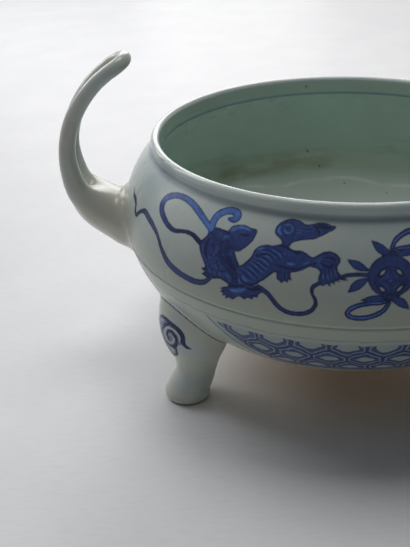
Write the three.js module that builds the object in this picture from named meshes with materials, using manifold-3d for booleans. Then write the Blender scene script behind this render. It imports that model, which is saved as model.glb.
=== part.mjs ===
// Porcelain tripod censer: a thrown bowl in two luted parts, two upright loop handles and three legs.
// Units are millimetres, +Z is up, the origin is on the table under the axis of the bowl.
// The painted front faces -Y, the loop handles stand on -X and +X.
import * as THREE from 'three';
import { mergeVertices, toCreasedNormals } from 'three/addons/utils/BufferGeometryUtils.js';
import Module from 'manifold-3d';

// Gap left at every luted joint
const LUTE_GAP = 0.3;

// Main sizes of the bowl
const BELLY_R = 118;
const RIM_HEIGHT = 127;
const BASE_HEIGHT = 31;
const FLOOR_THICKNESS = 6.5;
const WALL = 5.5;

// Belly and underside are two arcs in section, sized as shares of the depth from rim to base.
// The underside arc takes over below the belly at the given angle.
const BELLY_ARC_SHARE = 0.479;
const BELLY_HEIGHT_SHARE = 0.568;
const UNDER_ARC_SHARE = 0.667;
const LUTE_DROP_SHARE = 0.097;
const BELLY_END = 15;
const BASE_CORNER = 12;
const FLOOR_CORNER = 25;

// Rolled lip, set in from the widest part of the belly, and the groove and rounding beside it
const LIP_INSET = 17.8;
const LIP_RADIUS = 2.3;
const NECK_GROOVE = 2.5;
const NECK_INNER_ROUND = 4;

// Loop handle: centre line of one rod in the upright plane of the handle, from the root to the arch,
// as shares of the handle's height: [out from the widest part of the belly, up from its middle].
// The arch carries the line on at the given angle.
const HANDLE_HEIGHT = 76.3;
const HANDLE_HALF_SPREAD = 8.85;
const ROD_LINE = [
  [0.066, 0.014], [0.182, 0.087], [0.299, 0.191], [0.342, 0.325], [0.353, 0.465],
  [0.334, 0.587], [0.290, 0.706], [0.219, 0.823], [0.128, 0.927], [0.038, 1.0],
];
const ROD_ROOT_RADIUS = 6.2;
const ROD_MID_RADIUS = 4.25;
const ROD_TIP_RADIUS = 3.75;
const ROD_SIDES = 14;
const ROD_STEPS = 24;
const ARCH_STEPS = 8;
const ARCH_RISE = 30;

// Stub that joins both rods to the belly: place out and up as for the rods, then half height and
// half width as shares of the stub's size at the belly, and the tilt in degrees
const STUB_HALF = 16;
const STUB_STATIONS = [
  [-0.183, -0.072, 1.03, 1.22, 0],
  [-0.052, -0.059, 1.0, 1.18, 4],
  [0.0, -0.043, 0.93, 1.03, 10],
  [0.092, -0.008, 0.81, 0.9, 20],
  [0.17, 0.041, 0.72, 0.88, 30],
  [0.236, 0.098, 0.6, 0.78, 40],
  [0.282, 0.143, 0.41, 0.58, 46],
  [0.307, 0.169, 0.2, 0.3, 48],
];
const STUB_SIDES = 22;

// Leg: height as a share of the base height, then how far the middle of the level section is set in
// from the widest part of the belly and how wide it is, both as shares of the width at the knee
const LEG_WIDTH = 39.2;
const LEG_STATIONS = [
  [0, 0.417, 0.533],
  [0.039, 0.413, 0.592],
  [0.129, 0.406, 0.602],
  [0.29, 0.48, 0.582],
  [0.484, 0.559, 0.541],
  [0.71, 0.58, 0.615],
  [0.935, 0.575, 0.778],
  [1.194, 0.577, 0.918],
  [1.484, 0.605, 1.0],
  [1.806, 0.645, 0.99],
  [2.129, 0.705, 0.885],
  [2.387, 0.753, 0.74],
];
const LEG_SIDES = 24;
const LEG_STEPS = 22;
const LEG_WIDEN = 0.08;
const LEG_SPACING = 120;
const FRONT_LEG_TURN = -60;

// Facets around the bowl and along its arcs
const BOWL_SIDES = 64;
const ARC_STEP = 8;
const SMALL_ARC_STEP = 21;
const TRIM_TOP_TURN = 46;
const CREASE = 40;

const rad = THREE.MathUtils.degToRad;
const deg = THREE.MathUtils.radToDeg;

const wasm = await Module();
wasm.setup();

// Points of an arc in the half section, angles in degrees with 0 pointing away from the axis
function arc(centreR, centreZ, radius, from, to, step = ARC_STEP) {
  const count = Math.max(2, Math.ceil(Math.abs(to - from) / step));
  const points = [];
  for (let i = 0; i <= count; i += 1) {
    const angle = rad(from + ((to - from) * i) / count);
    points.push([centreR + radius * Math.cos(angle), centreZ + radius * Math.sin(angle)]);
  }
  return points;
}

function angleTo(fromR, fromZ, toR, toZ) {
  return deg(Math.atan2(toZ - fromZ, toR - fromR));
}

// Centres of the section arcs. The underside centre lies on the line through the belly centre and
// the point where the two arcs meet.
const depth = RIM_HEIGHT - BASE_HEIGHT;
const bellyArc = BELLY_ARC_SHARE * depth;
const bellyR = BELLY_R - bellyArc;
const bellyZ = BASE_HEIGHT + BELLY_HEIGHT_SHARE * depth;
const luteHeight = bellyZ - LUTE_DROP_SHARE * depth;
const underArc = UNDER_ARC_SHARE * depth;
const underR = bellyR + (bellyArc - underArc) * Math.cos(rad(BELLY_END));
const underZ = bellyZ - (bellyArc - underArc) * Math.sin(rad(BELLY_END));
const lipR = BELLY_R - LIP_INSET;
const lipZ = RIM_HEIGHT - LIP_RADIUS;

// Round between the underside arc and a level face below it
function levelCorner(level, arcRadius, corner) {
  const centreZ = level + corner;
  const centreR = underR + Math.sqrt((arcRadius - corner) ** 2 - (underZ - centreZ) ** 2);
  return { centreR, centreZ, turn: angleTo(underR, underZ, centreR, centreZ) };
}

// Outside of the bowl from the middle of the base up to a height on the belly, moved out by an offset
function outsideUpTo(height, offset = 0) {
  const corner = levelCorner(BASE_HEIGHT, underArc, BASE_CORNER);
  const stop = beltAngle(height, bellyArc + offset);
  return [
    [0, BASE_HEIGHT - offset],
    ...arc(corner.centreR, corner.centreZ, BASE_CORNER + offset, -90, corner.turn),
    ...arc(underR, underZ, underArc + offset, corner.turn, -BELLY_END).slice(1),
    ...arc(bellyR, bellyZ, bellyArc + offset, -BELLY_END, stop).slice(1),
  ];
}

// Angle on a belly arc of the given radius at a height
function beltAngle(height, radius) {
  return deg(Math.asin((height - bellyZ) / radius));
}

// Concave neck groove touching both the belly arc and the lip circle
function neckGroove() {
  const toBelly = bellyArc + NECK_GROOVE;
  const toLip = LIP_RADIUS + NECK_GROOVE;
  const spanR = lipR - bellyR;
  const spanZ = lipZ - bellyZ;
  const span = Math.hypot(spanR, spanZ);
  const along = (toBelly ** 2 - toLip ** 2 + span ** 2) / (2 * span);
  const aside = Math.sqrt(toBelly ** 2 - along ** 2);
  return [
    bellyR + (along * spanR + aside * spanZ) / span,
    bellyZ + (along * spanZ - aside * spanR) / span,
  ];
}

// Body of revolution about Z from a half section of [radius, height] points
function turned(points) {
  const profile = points.map(([r, z]) => new THREE.Vector2(r, z));
  return solid(new THREE.LatheGeometry(profile, BOWL_SIDES).rotateX(Math.PI / 2));
}

// Closed manifold body from a three.js geometry
function solid(geometry) {
  const bare = geometry.index ? geometry : geometry.clone();
  bare.deleteAttribute('normal');
  bare.deleteAttribute('uv');
  const welded = mergeVertices(bare, 1e-5);
  const index = welded.index.array;
  const tris = [];
  for (let i = 0; i < index.length; i += 3) {
    const [a, b, c] = [index[i], index[i + 1], index[i + 2]];
    if (a !== b && b !== c && c !== a) {
      tris.push(a, b, c);
    }
  }
  return new wasm.Manifold(new wasm.Mesh({
    numProp: 3,
    vertProperties: new Float32Array(welded.attributes.position.array),
    triVerts: new Uint32Array(tris),
  }));
}

// Skin over a row of rings with equal point counts, both ends closed with a fan
function loft(rings) {
  const sides = rings[0].length;
  const position = [];
  const index = [];
  rings.forEach((ring) => ring.forEach((p) => position.push(p.x, p.y, p.z)));
  for (let k = 0; k < rings.length - 1; k += 1) {
    for (let i = 0; i < sides; i += 1) {
      const a = k * sides + i;
      const b = k * sides + ((i + 1) % sides);
      index.push(a, b, a + sides, b, b + sides, a + sides);
    }
  }
  [rings[0], rings[rings.length - 1]].forEach((ring, end) => {
    const middle = ring.reduce((sum, p) => sum.add(p), new THREE.Vector3()).divideScalar(sides);
    const hub = position.length / 3;
    const first = end === 0 ? 0 : (rings.length - 1) * sides;
    position.push(middle.x, middle.y, middle.z);
    for (let i = 0; i < sides; i += 1) {
      const a = first + i;
      const b = first + ((i + 1) % sides);
      index.push(...(end === 0 ? [hub, b, a] : [hub, a, b]));
    }
  });
  const geometry = new THREE.BufferGeometry();
  geometry.setAttribute('position', new THREE.Float32BufferAttribute(position, 3));
  geometry.setIndex(index);
  return solid(geometry);
}

function upperWall() {
  const foot = luteHeight + LUTE_GAP / 2;
  const [grooveR, grooveZ] = neckGroove();
  const bellyTurn = angleTo(bellyR, bellyZ, grooveR, grooveZ);
  const lipTurn = angleTo(lipR, lipZ, grooveR, grooveZ);
  const innerArc = bellyArc - WALL;
  const throatR = lipR - LIP_RADIUS;
  const roundR = throatR + NECK_INNER_ROUND;
  const roundZ = bellyZ
    + Math.sqrt((innerArc + NECK_INNER_ROUND) ** 2 - (roundR - bellyR) ** 2);
  const innerTurn = angleTo(bellyR, bellyZ, roundR, roundZ);
  const outside = [
    ...arc(bellyR, bellyZ, bellyArc, beltAngle(foot, bellyArc), bellyTurn),
    ...arc(grooveR, grooveZ, NECK_GROOVE, 180 + bellyTurn, 180 + lipTurn, SMALL_ARC_STEP).slice(1),
    ...arc(lipR, lipZ, LIP_RADIUS, lipTurn, 180, SMALL_ARC_STEP).slice(1),
  ];
  const inside = [
    ...arc(roundR, roundZ, NECK_INNER_ROUND, 180, 180 + innerTurn, SMALL_ARC_STEP),
    ...arc(bellyR, bellyZ, innerArc, innerTurn, beltAngle(foot, innerArc)).slice(1),
  ];
  return turned([...outside, ...inside, outside[0]]);
}

function lowerBowl() {
  const top = luteHeight - LUTE_GAP / 2;
  const innerArc = bellyArc - WALL;
  const innerUnder = underArc - WALL;
  const floorLevel = BASE_HEIGHT + FLOOR_THICKNESS;
  const corner = levelCorner(floorLevel, innerUnder, FLOOR_CORNER);
  const inside = [
    ...arc(bellyR, bellyZ, innerArc, beltAngle(top, innerArc), -BELLY_END),
    ...arc(underR, underZ, innerUnder, -BELLY_END, corner.turn).slice(1),
    ...arc(corner.centreR, corner.centreZ, FLOOR_CORNER, corner.turn, -90).slice(1),
    [0, floorLevel],
  ];
  return turned([...outsideUpTo(top), ...inside]);
}

// Solid shape of the bowl grown by the luting gap, used to trim whatever is stuck onto it
function bowlTrim() {
  const top = bellyZ + (bellyArc + LUTE_GAP) * Math.sin(rad(TRIM_TOP_TURN));
  const points = outsideUpTo(top, LUTE_GAP);
  return turned([...points, [0, top]]);
}

// Round rod along a row of points with a radius at each, the section carried along without twist
function rod(points, radii) {
  const last = points.length - 1;
  const side = new THREE.Vector3(0, 1, 0);
  const rings = points.map((point, k) => {
    const along = points[Math.min(k + 1, last)].clone().sub(points[Math.max(k - 1, 0)]).normalize();
    side.addScaledVector(along, -side.dot(along)).normalize();
    const other = new THREE.Vector3().crossVectors(along, side);
    return ringAround(point, side, other, radii[k], radii[k], ROD_SIDES);
  });
  return loft(rings);
}

function ringAround(centre, axisA, axisB, halfA, halfB, sides) {
  const ring = [];
  for (let i = 0; i < sides; i += 1) {
    const angle = (2 * Math.PI * i) / sides;
    ring.push(centre.clone()
      .addScaledVector(axisA, halfA * Math.cos(angle))
      .addScaledVector(axisB, halfB * Math.sin(angle)));
  }
  return ring;
}

// Radius of a handle rod at a fraction of the way from root to arch
function rodRadius(t) {
  const toMid = THREE.MathUtils.smoothstep(t, 0.15, 0.55);
  const toTip = THREE.MathUtils.smoothstep(t, 0.6, 1);
  return ROD_ROOT_RADIUS + (ROD_MID_RADIUS - ROD_ROOT_RADIUS) * toMid
    + (ROD_TIP_RADIUS - ROD_MID_RADIUS) * toTip;
}

function handlePoint(out, up) {
  return new THREE.Vector3(BELLY_R + out * HANDLE_HEIGHT, 0, bellyZ + up * HANDLE_HEIGHT);
}

// Loop handle standing on the +X side: one rod up, round the arch and down again, and the stub
function loopHandle(trim) {
  const line = new THREE.CatmullRomCurve3(
    ROD_LINE.map(([out, up]) => handlePoint(out, up)),
    false,
    'centripetal',
  );
  const rise = line.getSpacedPoints(ROD_STEPS);
  const tip = rise[ROD_STEPS];
  const onward = new THREE.Vector3(-Math.cos(rad(ARCH_RISE)), 0, Math.sin(rad(ARCH_RISE)));
  const points = [];
  const radii = [];
  rise.forEach((p, k) => {
    points.push(new THREE.Vector3(p.x, HANDLE_HALF_SPREAD, p.z));
    radii.push(rodRadius(k / ROD_STEPS));
  });
  for (let i = 1; i < ARCH_STEPS; i += 1) {
    const turn = (Math.PI * i) / ARCH_STEPS;
    const p = tip.clone().addScaledVector(onward, HANDLE_HALF_SPREAD * Math.sin(turn));
    p.y = HANDLE_HALF_SPREAD * Math.cos(turn);
    points.push(p);
    radii.push(ROD_TIP_RADIUS);
  }
  for (let k = ROD_STEPS; k >= 0; k -= 1) {
    points.push(new THREE.Vector3(rise[k].x, -HANDLE_HALF_SPREAD, rise[k].z));
    radii.push(radii[k]);
  }
  const stub = loft(STUB_STATIONS.map(([out, up, tall, wide, tilt]) => {
    const upward = new THREE.Vector3(-Math.sin(rad(tilt)), 0, Math.cos(rad(tilt)));
    const across = new THREE.Vector3(0, 1, 0);
    return ringAround(handlePoint(out, up), across, upward, wide * STUB_HALF, tall * STUB_HALF, STUB_SIDES);
  }));
  return rod(points, radii).add(stub).subtract(trim);
}

// Cabriole leg standing on the +X side: knee under the bowl, slim ankle, foot turned outward
function leg(trim) {
  const curve = new THREE.CatmullRomCurve3(
    LEG_STATIONS.map(([up, inset, wide]) => new THREE.Vector3(
      up * BASE_HEIGHT,
      BELLY_R - inset * LEG_WIDTH,
      wide * LEG_WIDTH,
    )),
    false,
    'centripetal',
  );
  const top = LEG_STATIONS[LEG_STATIONS.length - 1][0] * BASE_HEIGHT;
  const outward = new THREE.Vector3(1, 0, 0);
  const sideways = new THREE.Vector3(0, 1, 0);
  const rings = curve.getPoints(LEG_STEPS).map(({ x: height, y: out, z: wide }) => {
    const half = wide / 2;
    const across = half * (1 + (LEG_WIDEN * height) / top);
    return ringAround(new THREE.Vector3(out, 0, height), outward, sideways, half, across, LEG_SIDES);
  });
  return loft(rings).subtract(trim);
}

// Mesh with smooth shading over the round stretches and crisp edges at the joints
function mesh(name, body, material) {
  const result = body.getMesh();
  const geometry = new THREE.BufferGeometry();
  geometry.setAttribute('position', new THREE.Float32BufferAttribute(result.vertProperties, 3));
  geometry.setIndex(new THREE.Uint32BufferAttribute(result.triVerts, 1));
  const item = new THREE.Mesh(toCreasedNormals(geometry, rad(CREASE)), material);
  item.name = name;
  return item;
}

function glaze(color) {
  return new THREE.MeshStandardMaterial({ color, roughness: 0.14, metalness: 0 });
}

function turnedAboutZ(body, degrees) {
  return body.rotate([0, 0, degrees]);
}

const trim = bowlTrim();
const rightHandle = loopHandle(trim);
const xLeg = leg(trim);
const forward = -90;

const censer = new THREE.Group();
censer.name = 'tripod_censer';
censer.add(
  mesh('upper_wall', upperWall(), glaze(0xc3c8c4)),
  mesh('lower_bowl', lowerBowl(), glaze(0xb9bfbb)),
  mesh('left_handle', turnedAboutZ(rightHandle, 180), glaze(0xb4b9b3)),
  mesh('right_handle', rightHandle, glaze(0xb4b9b3)),
  mesh('front_left_leg', turnedAboutZ(xLeg, forward + FRONT_LEG_TURN), glaze(0xb7beb9)),
  mesh('front_right_leg', turnedAboutZ(xLeg, forward + FRONT_LEG_TURN + LEG_SPACING), glaze(0xb7beb9)),
  mesh('rear_leg', turnedAboutZ(xLeg, forward + FRONT_LEG_TURN + 2 * LEG_SPACING), glaze(0xb7beb9)),
);

export default censer;
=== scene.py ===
"""Blue-and-white porcelain tripod incense burner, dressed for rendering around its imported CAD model.

Lengths are in millimetres until a mesh is made, which turns them into metres. The origin is on the
table under the middle of the bowl, the front is -Y and the loop handles stand at -X and +X.
"""
import math

import bpy
import numpy as np
from mathutils import Matrix, Vector


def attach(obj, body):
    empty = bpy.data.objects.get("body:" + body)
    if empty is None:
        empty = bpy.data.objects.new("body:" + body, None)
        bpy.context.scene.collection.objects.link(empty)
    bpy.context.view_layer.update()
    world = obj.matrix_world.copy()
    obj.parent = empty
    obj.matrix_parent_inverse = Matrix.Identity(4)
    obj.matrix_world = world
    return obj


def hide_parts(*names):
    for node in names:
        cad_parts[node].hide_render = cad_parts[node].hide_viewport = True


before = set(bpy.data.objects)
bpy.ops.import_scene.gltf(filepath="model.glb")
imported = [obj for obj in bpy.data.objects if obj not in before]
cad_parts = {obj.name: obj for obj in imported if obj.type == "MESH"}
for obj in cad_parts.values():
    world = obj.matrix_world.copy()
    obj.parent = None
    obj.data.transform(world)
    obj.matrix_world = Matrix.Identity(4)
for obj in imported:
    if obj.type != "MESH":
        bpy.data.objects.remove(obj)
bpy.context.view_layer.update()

MM = 0.001
SHARP = math.radians(50)
BODY = "root"

# The bowl's outline, from the same values as the CAD source
BASE_HEIGHT = 31.0
RIM_HEIGHT = 127.0
DEPTH = RIM_HEIGHT - BASE_HEIGHT
BELLY_R = 118.0
WALL = 5.5
BELLY_ARC = 0.479 * DEPTH
BELLY_CR = BELLY_R - BELLY_ARC
BELLY_CZ = BASE_HEIGHT + 0.568 * DEPTH
BELLY_END = -math.radians(15)
UNDER_ARC = 0.667 * DEPTH
UNDER_CR = BELLY_CR + (BELLY_ARC - UNDER_ARC) * math.cos(BELLY_END)
UNDER_CZ = BELLY_CZ + (BELLY_ARC - UNDER_ARC) * math.sin(BELLY_END)
LUTE_Z = BELLY_CZ - 0.097 * DEPTH
BASE_CORNER = 12.0
FLOOR_CORNER = 25.0
FLOOR_LEVEL = BASE_HEIGHT + 6.5
LIP_RADIUS = 2.3
LIP_CR = BELLY_R - 17.8
LIP_CZ = RIM_HEIGHT - LIP_RADIUS
THROAT_R = LIP_CR - LIP_RADIUS
GROOVE_RADIUS = 2.5
INNER_ROUND = 4.0

# Luted seam between the halves: its depth, the round at its edges, and steps (inset, rise) in that round
SEAM_DEPTH = 1.8
SEAM_ROUND = 1.3
SEAM_EDGE = [(0.2, 0.01), (0.15, 0.18), (0.08, 0.46), (0.02, 0.78)]

# Columns of the turned meshes, fine where the painting lies and coarse elsewhere, and how far apart
# their rows lie on each part of the outline
FINE = 1080
COARSE = FINE // 4
PAINT_ROW = 0.64
GROOVE_ROW = 0.4
LIP_ROW = 0.35
ROUND_ROW = 0.7
WALL_ROW = 2.2
SEAM_ROW = 1.0
UNDER_ROW = 1.6
INNER_ROW = 1.8
# Radius of the pinhole that a turned shape keeps along the axis
AXIS_HOLE = 0.02
# Radii of the rows on the level bottom, outwards, and on the floor inside, inwards
BOTTOM_ROWS = (AXIS_HOLE, 12, 24, 36, 48, 60, 70)
FLOOR_ROWS = (66, 54, 42, 30, 18, 8, AXIS_HOLE)

# The photo's camera: reach in radii of the mouth, angles in radians, the rest in the photo's pixels
MOUTH_R = 100.0
EYE_REACH = 4.528 * MOUTH_R
EYE_TILT = 0.31377
EYE_ROLL = 0.03502
FOCAL = 852.6
FRAME = np.array((410, 547))
MOUTH_PIXEL = np.array((348.76, 126.93))
VIEW_TURN = math.radians(10.6)
SENSOR = 36


def round_centre(level, arc_radius, corner):
    """Middle of the round between the under arc and a level bottom, and the angle where it starts."""
    drop = level + corner - UNDER_CZ
    out = math.sqrt((arc_radius - corner) ** 2 - drop ** 2)
    return UNDER_CR + out, level + corner, math.atan2(drop, out)


BASE_CR, BASE_CZ, BASE_TURN = round_centre(BASE_HEIGHT, UNDER_ARC, BASE_CORNER)


def arc(cr, cz, radius, start, end, step):
    """Points (radius, height) along an arc, about step millimetres apart."""
    count = max(2, int(round(abs(end - start) * radius / step)))
    turn = np.linspace(start, end, count + 1)
    return [(cr + radius * math.cos(t), cz + radius * math.sin(t)) for t in turn]


def bowl_distance(r, z):
    """Distance outside the bowl's outer surface, negative inside."""
    belly = np.hypot(r - BELLY_CR, z - BELLY_CZ) - BELLY_ARC
    under = np.hypot(r - UNDER_CR, z - UNDER_CZ) - UNDER_ARC
    corner = np.hypot(r - BASE_CR, z - BASE_CZ) - BASE_CORNER
    d = np.where(np.arctan2(z - BELLY_CZ, r - BELLY_CR) < BELLY_END, under, belly)
    d = np.where(np.arctan2(z - UNDER_CZ, r - UNDER_CR) < BASE_TURN, corner, d)
    return np.where((r < BASE_CR) & (z < BASE_CZ), BASE_HEIGHT - z, d)


def smooth_min(a, b, k):
    h = np.clip(0.5 + 0.5 * (b - a) / k, 0, 1)
    return b + (a - b) * h - k * h * (1 - h)


def smoothstep(t, lo, hi):
    x = np.clip((t - lo) / (hi - lo), 0, 1)
    return x * x * (3 - 2 * x)


def spline(points, per_span):
    """Smooth curve through rows of values, of which the first two are the place. Each span takes time by
    the square root of its length.
    """
    p = np.asarray(points, float)
    p = np.vstack([2 * p[0] - p[1], p, 2 * p[-1] - p[-2]])
    out = []
    for k in range(1, len(p) - 2):
        a, b, c, d = p[k - 1:k + 3]
        t0, t1, t2 = (max(np.linalg.norm(v[:2]), 1e-6) ** 0.5 for v in (b - a, c - b, d - c))
        m1 = ((b - a) / t0 - (c - a) / (t0 + t1) + (c - b) / t1) * t1
        m2 = ((c - b) / t1 - (d - b) / (t1 + t2) + (d - c) / t2) * t1
        for x in np.arange(per_span) / per_span:
            x2, x3 = x * x, x ** 3
            out.append((2 * x3 - 3 * x2 + 1) * b + (x3 - 2 * x2 + x) * m1
                       + (3 * x2 - 2 * x3) * c + (x3 - x2) * m2)
    out.append(p[-2])
    return np.array(out)


def nearest(place, a, b):
    """How far from a to b the nearest point lies, from 0 to 1, and the square of its distance."""
    way = b - a
    t = sum((v - s) * w for v, s, w in zip(place, a, way)) / max(way @ way, 1e-9)
    t = np.clip(t, 0, 1)
    return t, sum((v - s - t * w) ** 2 for v, s, w in zip(place, a, way))


def photo_view():
    """Eye, from the middle of the mouth, and unit rows to the right, up and ahead of the photo's camera."""
    eye = EYE_REACH * np.array([0, -math.cos(EYE_TILT), math.sin(EYE_TILT)])
    ahead = -eye / EYE_REACH
    right = np.array([1.0, 0, 0])
    up = np.cross(right, ahead)
    c, s = math.cos(EYE_ROLL), math.sin(EYE_ROLL)
    level = np.stack([c * right + s * up, c * up - s * right, ahead])
    aim = np.array([*(MOUTH_PIXEL - FRAME / 2) * (1, -1) / FOCAL, 1])
    aim /= np.linalg.norm(aim)
    tip = np.cross([0, 0, 1], aim)
    k = np.array([[0, -tip[2], tip[1]], [tip[2], 0, -tip[0]], [-tip[1], tip[0], 0]])
    return eye, (np.eye(3) + k + k @ k / (1 + aim[2])) @ level


# Millimetres round the belly for each radian, and half way round it
BELLY_MM = 117.0
HALF_TURN = math.pi * BELLY_MM
# Steps along a ray from the eye, over the distances at which it can meet the belly
RAY_STEPS = np.linspace(200, 640, 8801)


def belly_place(pixels):
    """Millimetres along and up the belly where the photo's pixels show it."""
    eye, (right, up, ahead) = photo_view()
    out = (pixels - FRAME / 2) / FOCAL
    rays = ahead + out[:, :1] * right - out[:, 1:] * up
    rays /= np.linalg.norm(rays, axis=1, keepdims=True)
    x, y, z = (eye + (0, 0, RIM_HEIGHT) + RAY_STEPS[:, None, None] * rays).T
    r = np.hypot(x, y)
    gap = bowl_distance(r, z)
    first = np.where((gap < 0).any(1), (gap < 0).argmax(1), gap.argmin(1))
    x, y, z, r = (v[np.arange(len(first)), first] for v in (x, y, z, r))
    turn = np.arctan2(x, -y) - VIEW_TURN
    return np.stack([turn * BELLY_MM, np.arctan2(z - BELLY_CZ, r - BELLY_CR) * BELLY_ARC], 1)


def on_belly(points):
    """Places in the photo's pixels, with or without a width, as millimetres on the belly."""
    p = np.array(points, float)
    place = belly_place(p[:, :2])
    if p.shape[1] == 2:
        return place
    way = np.gradient(p[:, :2], axis=0)
    across = way[:, ::-1] * (-1, 1) / np.hypot(*way.T)[:, None] * p[:, 2:] / 2
    side, other_side = belly_place(p[:, :2] + across), belly_place(p[:, :2] - across)
    return np.column_stack([place, np.hypot(*(side - other_side).T)])


# Painting on the belly. Ribbons (right, down, width) and closed shapes (right, down) stand here in the
# photo's pixels. They become millimetres: along the belly from the middle of the front, to the right, then
# up from the widest line.
LOOP_UPPER = on_belly([
    (211, 229, 6), (209.8, 227.3, 6), (205.3, 220.9, 6.4), (199.8, 212.7, 7), (193.5, 204.5, 7),
    (187.1, 199.1, 6.8), (179.8, 195.9, 6), (173.5, 195.6, 5.4), (167.1, 197.7, 5.2), (163, 202.7, 5),
    (161.8, 209.1, 4.7), (163.5, 216.4, 4.6), (167.1, 223.6, 4.6), (173.5, 230, 4.4), (179.8, 231.1, 4.2),
    (186.2, 231.8, 4.2), (192.5, 234.5, 4.5), (197.1, 239.1, 5), (202.5, 245, 5.5),
])
RIBBON_LEFT = on_belly([
    (134.5, 187.3, 0.4), (134, 193.6, 1), (135.3, 198.2, 1.55), (136, 204.5, 1.33), (135.3, 210, 1.29),
    (136.4, 215, 2.4), (138.9, 212.7, 2.23), (141.6, 210.9, 3.5), (145.3, 211.8, 3.93),
    (148.9, 218.2, 3.76), (152.5, 224.5, 3.6), (156.2, 231.8, 3), (158.5, 238.2, 2.6), (160.7, 246.4, 3),
    (163.5, 253.6, 3.8), (167.1, 260.9, 4.35), (172.5, 267.3, 4.75), (178.9, 272.7, 4.86),
    (186.2, 277.3, 4.85), (193.5, 280.9, 5.2), (200.7, 282.3, 5.4), (206.2, 280.9, 5), (210.5, 277.5, 4),
])
CURL = on_belly([
    (211.5, 229, 5), (212.6, 224.5, 5), (214.3, 220, 5), (217, 216.2, 5), (221, 213.2, 5), (226, 211.3, 5),
    (231.3, 210.6, 5.5), (236, 212.2, 6), (237.9, 215.6, 5.6), (236, 218.7, 5), (232.5, 219.6, 4),
    (229, 218.6, 2.4),
])
RIBBON_LOW = on_belly([
    (258, 287, 5), (263, 290, 5), (268, 294, 4.6), (272, 299, 4.5), (276, 304, 4.5), (281, 308.8, 4.5),
    (288, 312.3, 4.5), (295, 313.7, 4.5), (302, 313.7, 4.5), (308.5, 312, 4.5), (313.3, 308.5, 4.5),
    (315.6, 303.5, 4.2), (314.6, 298.5, 3.6), (312.3, 294, 3.4), (311.8, 289.5, 4), (314, 286, 4.5),
    (318.5, 283.5, 4), (323, 281, 3),
])
RIBBON_BALL = on_belly([
    (337, 279.5, 2.5), (341, 277.8, 3.6), (345, 276, 4), (350, 275, 4.2), (357, 274.6, 4.2),
    (363, 274.8, 4.2), (369, 275.3, 4),
])
HEAD = on_belly([
    (208.5, 232), (210.5, 229.2), (217.2, 227.3), (223.8, 229.6), (229.7, 232), (233, 238), (235.9, 243),
    (234.9, 251.7), (236.6, 258.5), (239, 264.5), (238.5, 270), (242, 281), (238, 289), (232, 288.5),
    (229.5, 285.8), (225, 281.8), (220.5, 279), (215, 278.6), (209, 278.3), (205.5, 276.5), (201.5, 273.2),
    (204.5, 271.6), (201.3, 268), (205, 266.6), (202.8, 260), (201, 254.5), (199.5, 249), (199.6, 243),
    (203.5, 238.5), (207, 235.3),
])
TUFT = on_belly([
    (228.5, 231), (232.2, 226.3), (239.7, 224.6), (246.3, 225.4), (251.3, 227.9), (257.2, 230),
    (255.8, 236), (254.2, 239), (251, 243), (244.7, 248.3), (238, 251.7), (234.4, 250), (233, 241.7),
    (229.5, 235),
])
TORSO = on_belly([
    (237, 266), (241.3, 265), (248, 260), (252.2, 254.6), (255.5, 248.8), (260.5, 246), (266.8, 244.6),
    (273.2, 245.6), (280.5, 244.1), (285.9, 244.6), (289.5, 247.3), (294.1, 250.2), (300.5, 250.6),
    (305, 252.4), (309.5, 255.7), (313.2, 257.2), (317.7, 255), (322.3, 252.4), (328, 251.4), (333, 252.2),
    (337.5, 255), (340.5, 258.8), (340, 262.5), (337.5, 266.5), (338.3, 272), (339.5, 276), (341.5, 280.2),
    (338, 279.6), (340.5, 283), (334.5, 281), (335.5, 285.6), (330.8, 282.4), (330.5, 287.4),
    (326.5, 283.6), (323.8, 286.4), (319.5, 284.3), (318, 280), (318.6, 276.3), (320, 272.5),
    (317.5, 269.3), (313.2, 267.6), (309.5, 267), (304.1, 269.5), (296.8, 272), (291.2, 272.6),
    (290.6, 276), (292, 280.6), (288.6, 279.6), (287.8, 283.4), (284.6, 280.8), (281.4, 283.4),
    (279, 280.6), (276.6, 279.2), (276.4, 272.6), (272.6, 273.2), (268.6, 276.8), (264.1, 279.6),
    (259.5, 282.5), (254.7, 285.5), (249.7, 287), (244, 287.5), (238, 289), (234, 282), (231, 274),
])
PAWS = on_belly([
    (229.5, 285.5), (225.2, 286.6), (219.4, 288), (222.6, 289.6), (219.8, 291.4), (222.8, 292.7),
    (221.8, 295.4), (225.6, 295.4), (225, 298.6), (229, 297.4), (232.5, 299.6), (236.5, 297.2),
    (240, 296.6), (244.5, 299.5), (248, 297.6), (251.8, 299.4), (254, 296.8), (257.2, 298), (258.4, 294.8),
    (261.5, 292.8), (263, 289.8), (259.5, 287.2), (254, 286), (249.7, 286.8), (243, 287), (236, 287),
])
TAIL = on_belly([
    (281.8, 245), (281.4, 240.8), (279, 237.6), (275.9, 235), (275, 230.5), (278.6, 224.1), (285, 220.2),
    (293.2, 218.7), (300.5, 220.9), (305.9, 224.3), (313.2, 223.8), (320.5, 222.3), (327.7, 223.6),
    (332.3, 225.6), (336.2, 226.4), (335, 229.5), (329.5, 232.3), (322.3, 235.9), (315, 239.1),
    (305.9, 240), (298.6, 241), (291.4, 243.6), (289.5, 247.3),
])
LOOP_LOW = on_belly([
    (388.8, 303, 3.6), (384.5, 309.5, 3.8), (378, 314, 4), (370, 317, 4.2), (362, 318.2, 4.2),
    (354.5, 317.8, 4.2), (349.2, 316.2, 4.2), (347.2, 313.4, 4.2), (349.4, 310, 4.2), (355, 306.8, 4.2),
    (362.5, 304.6, 4), (371, 303.4, 3.8), (380, 303, 3.6), (386, 301.5, 3.2),
])
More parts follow.
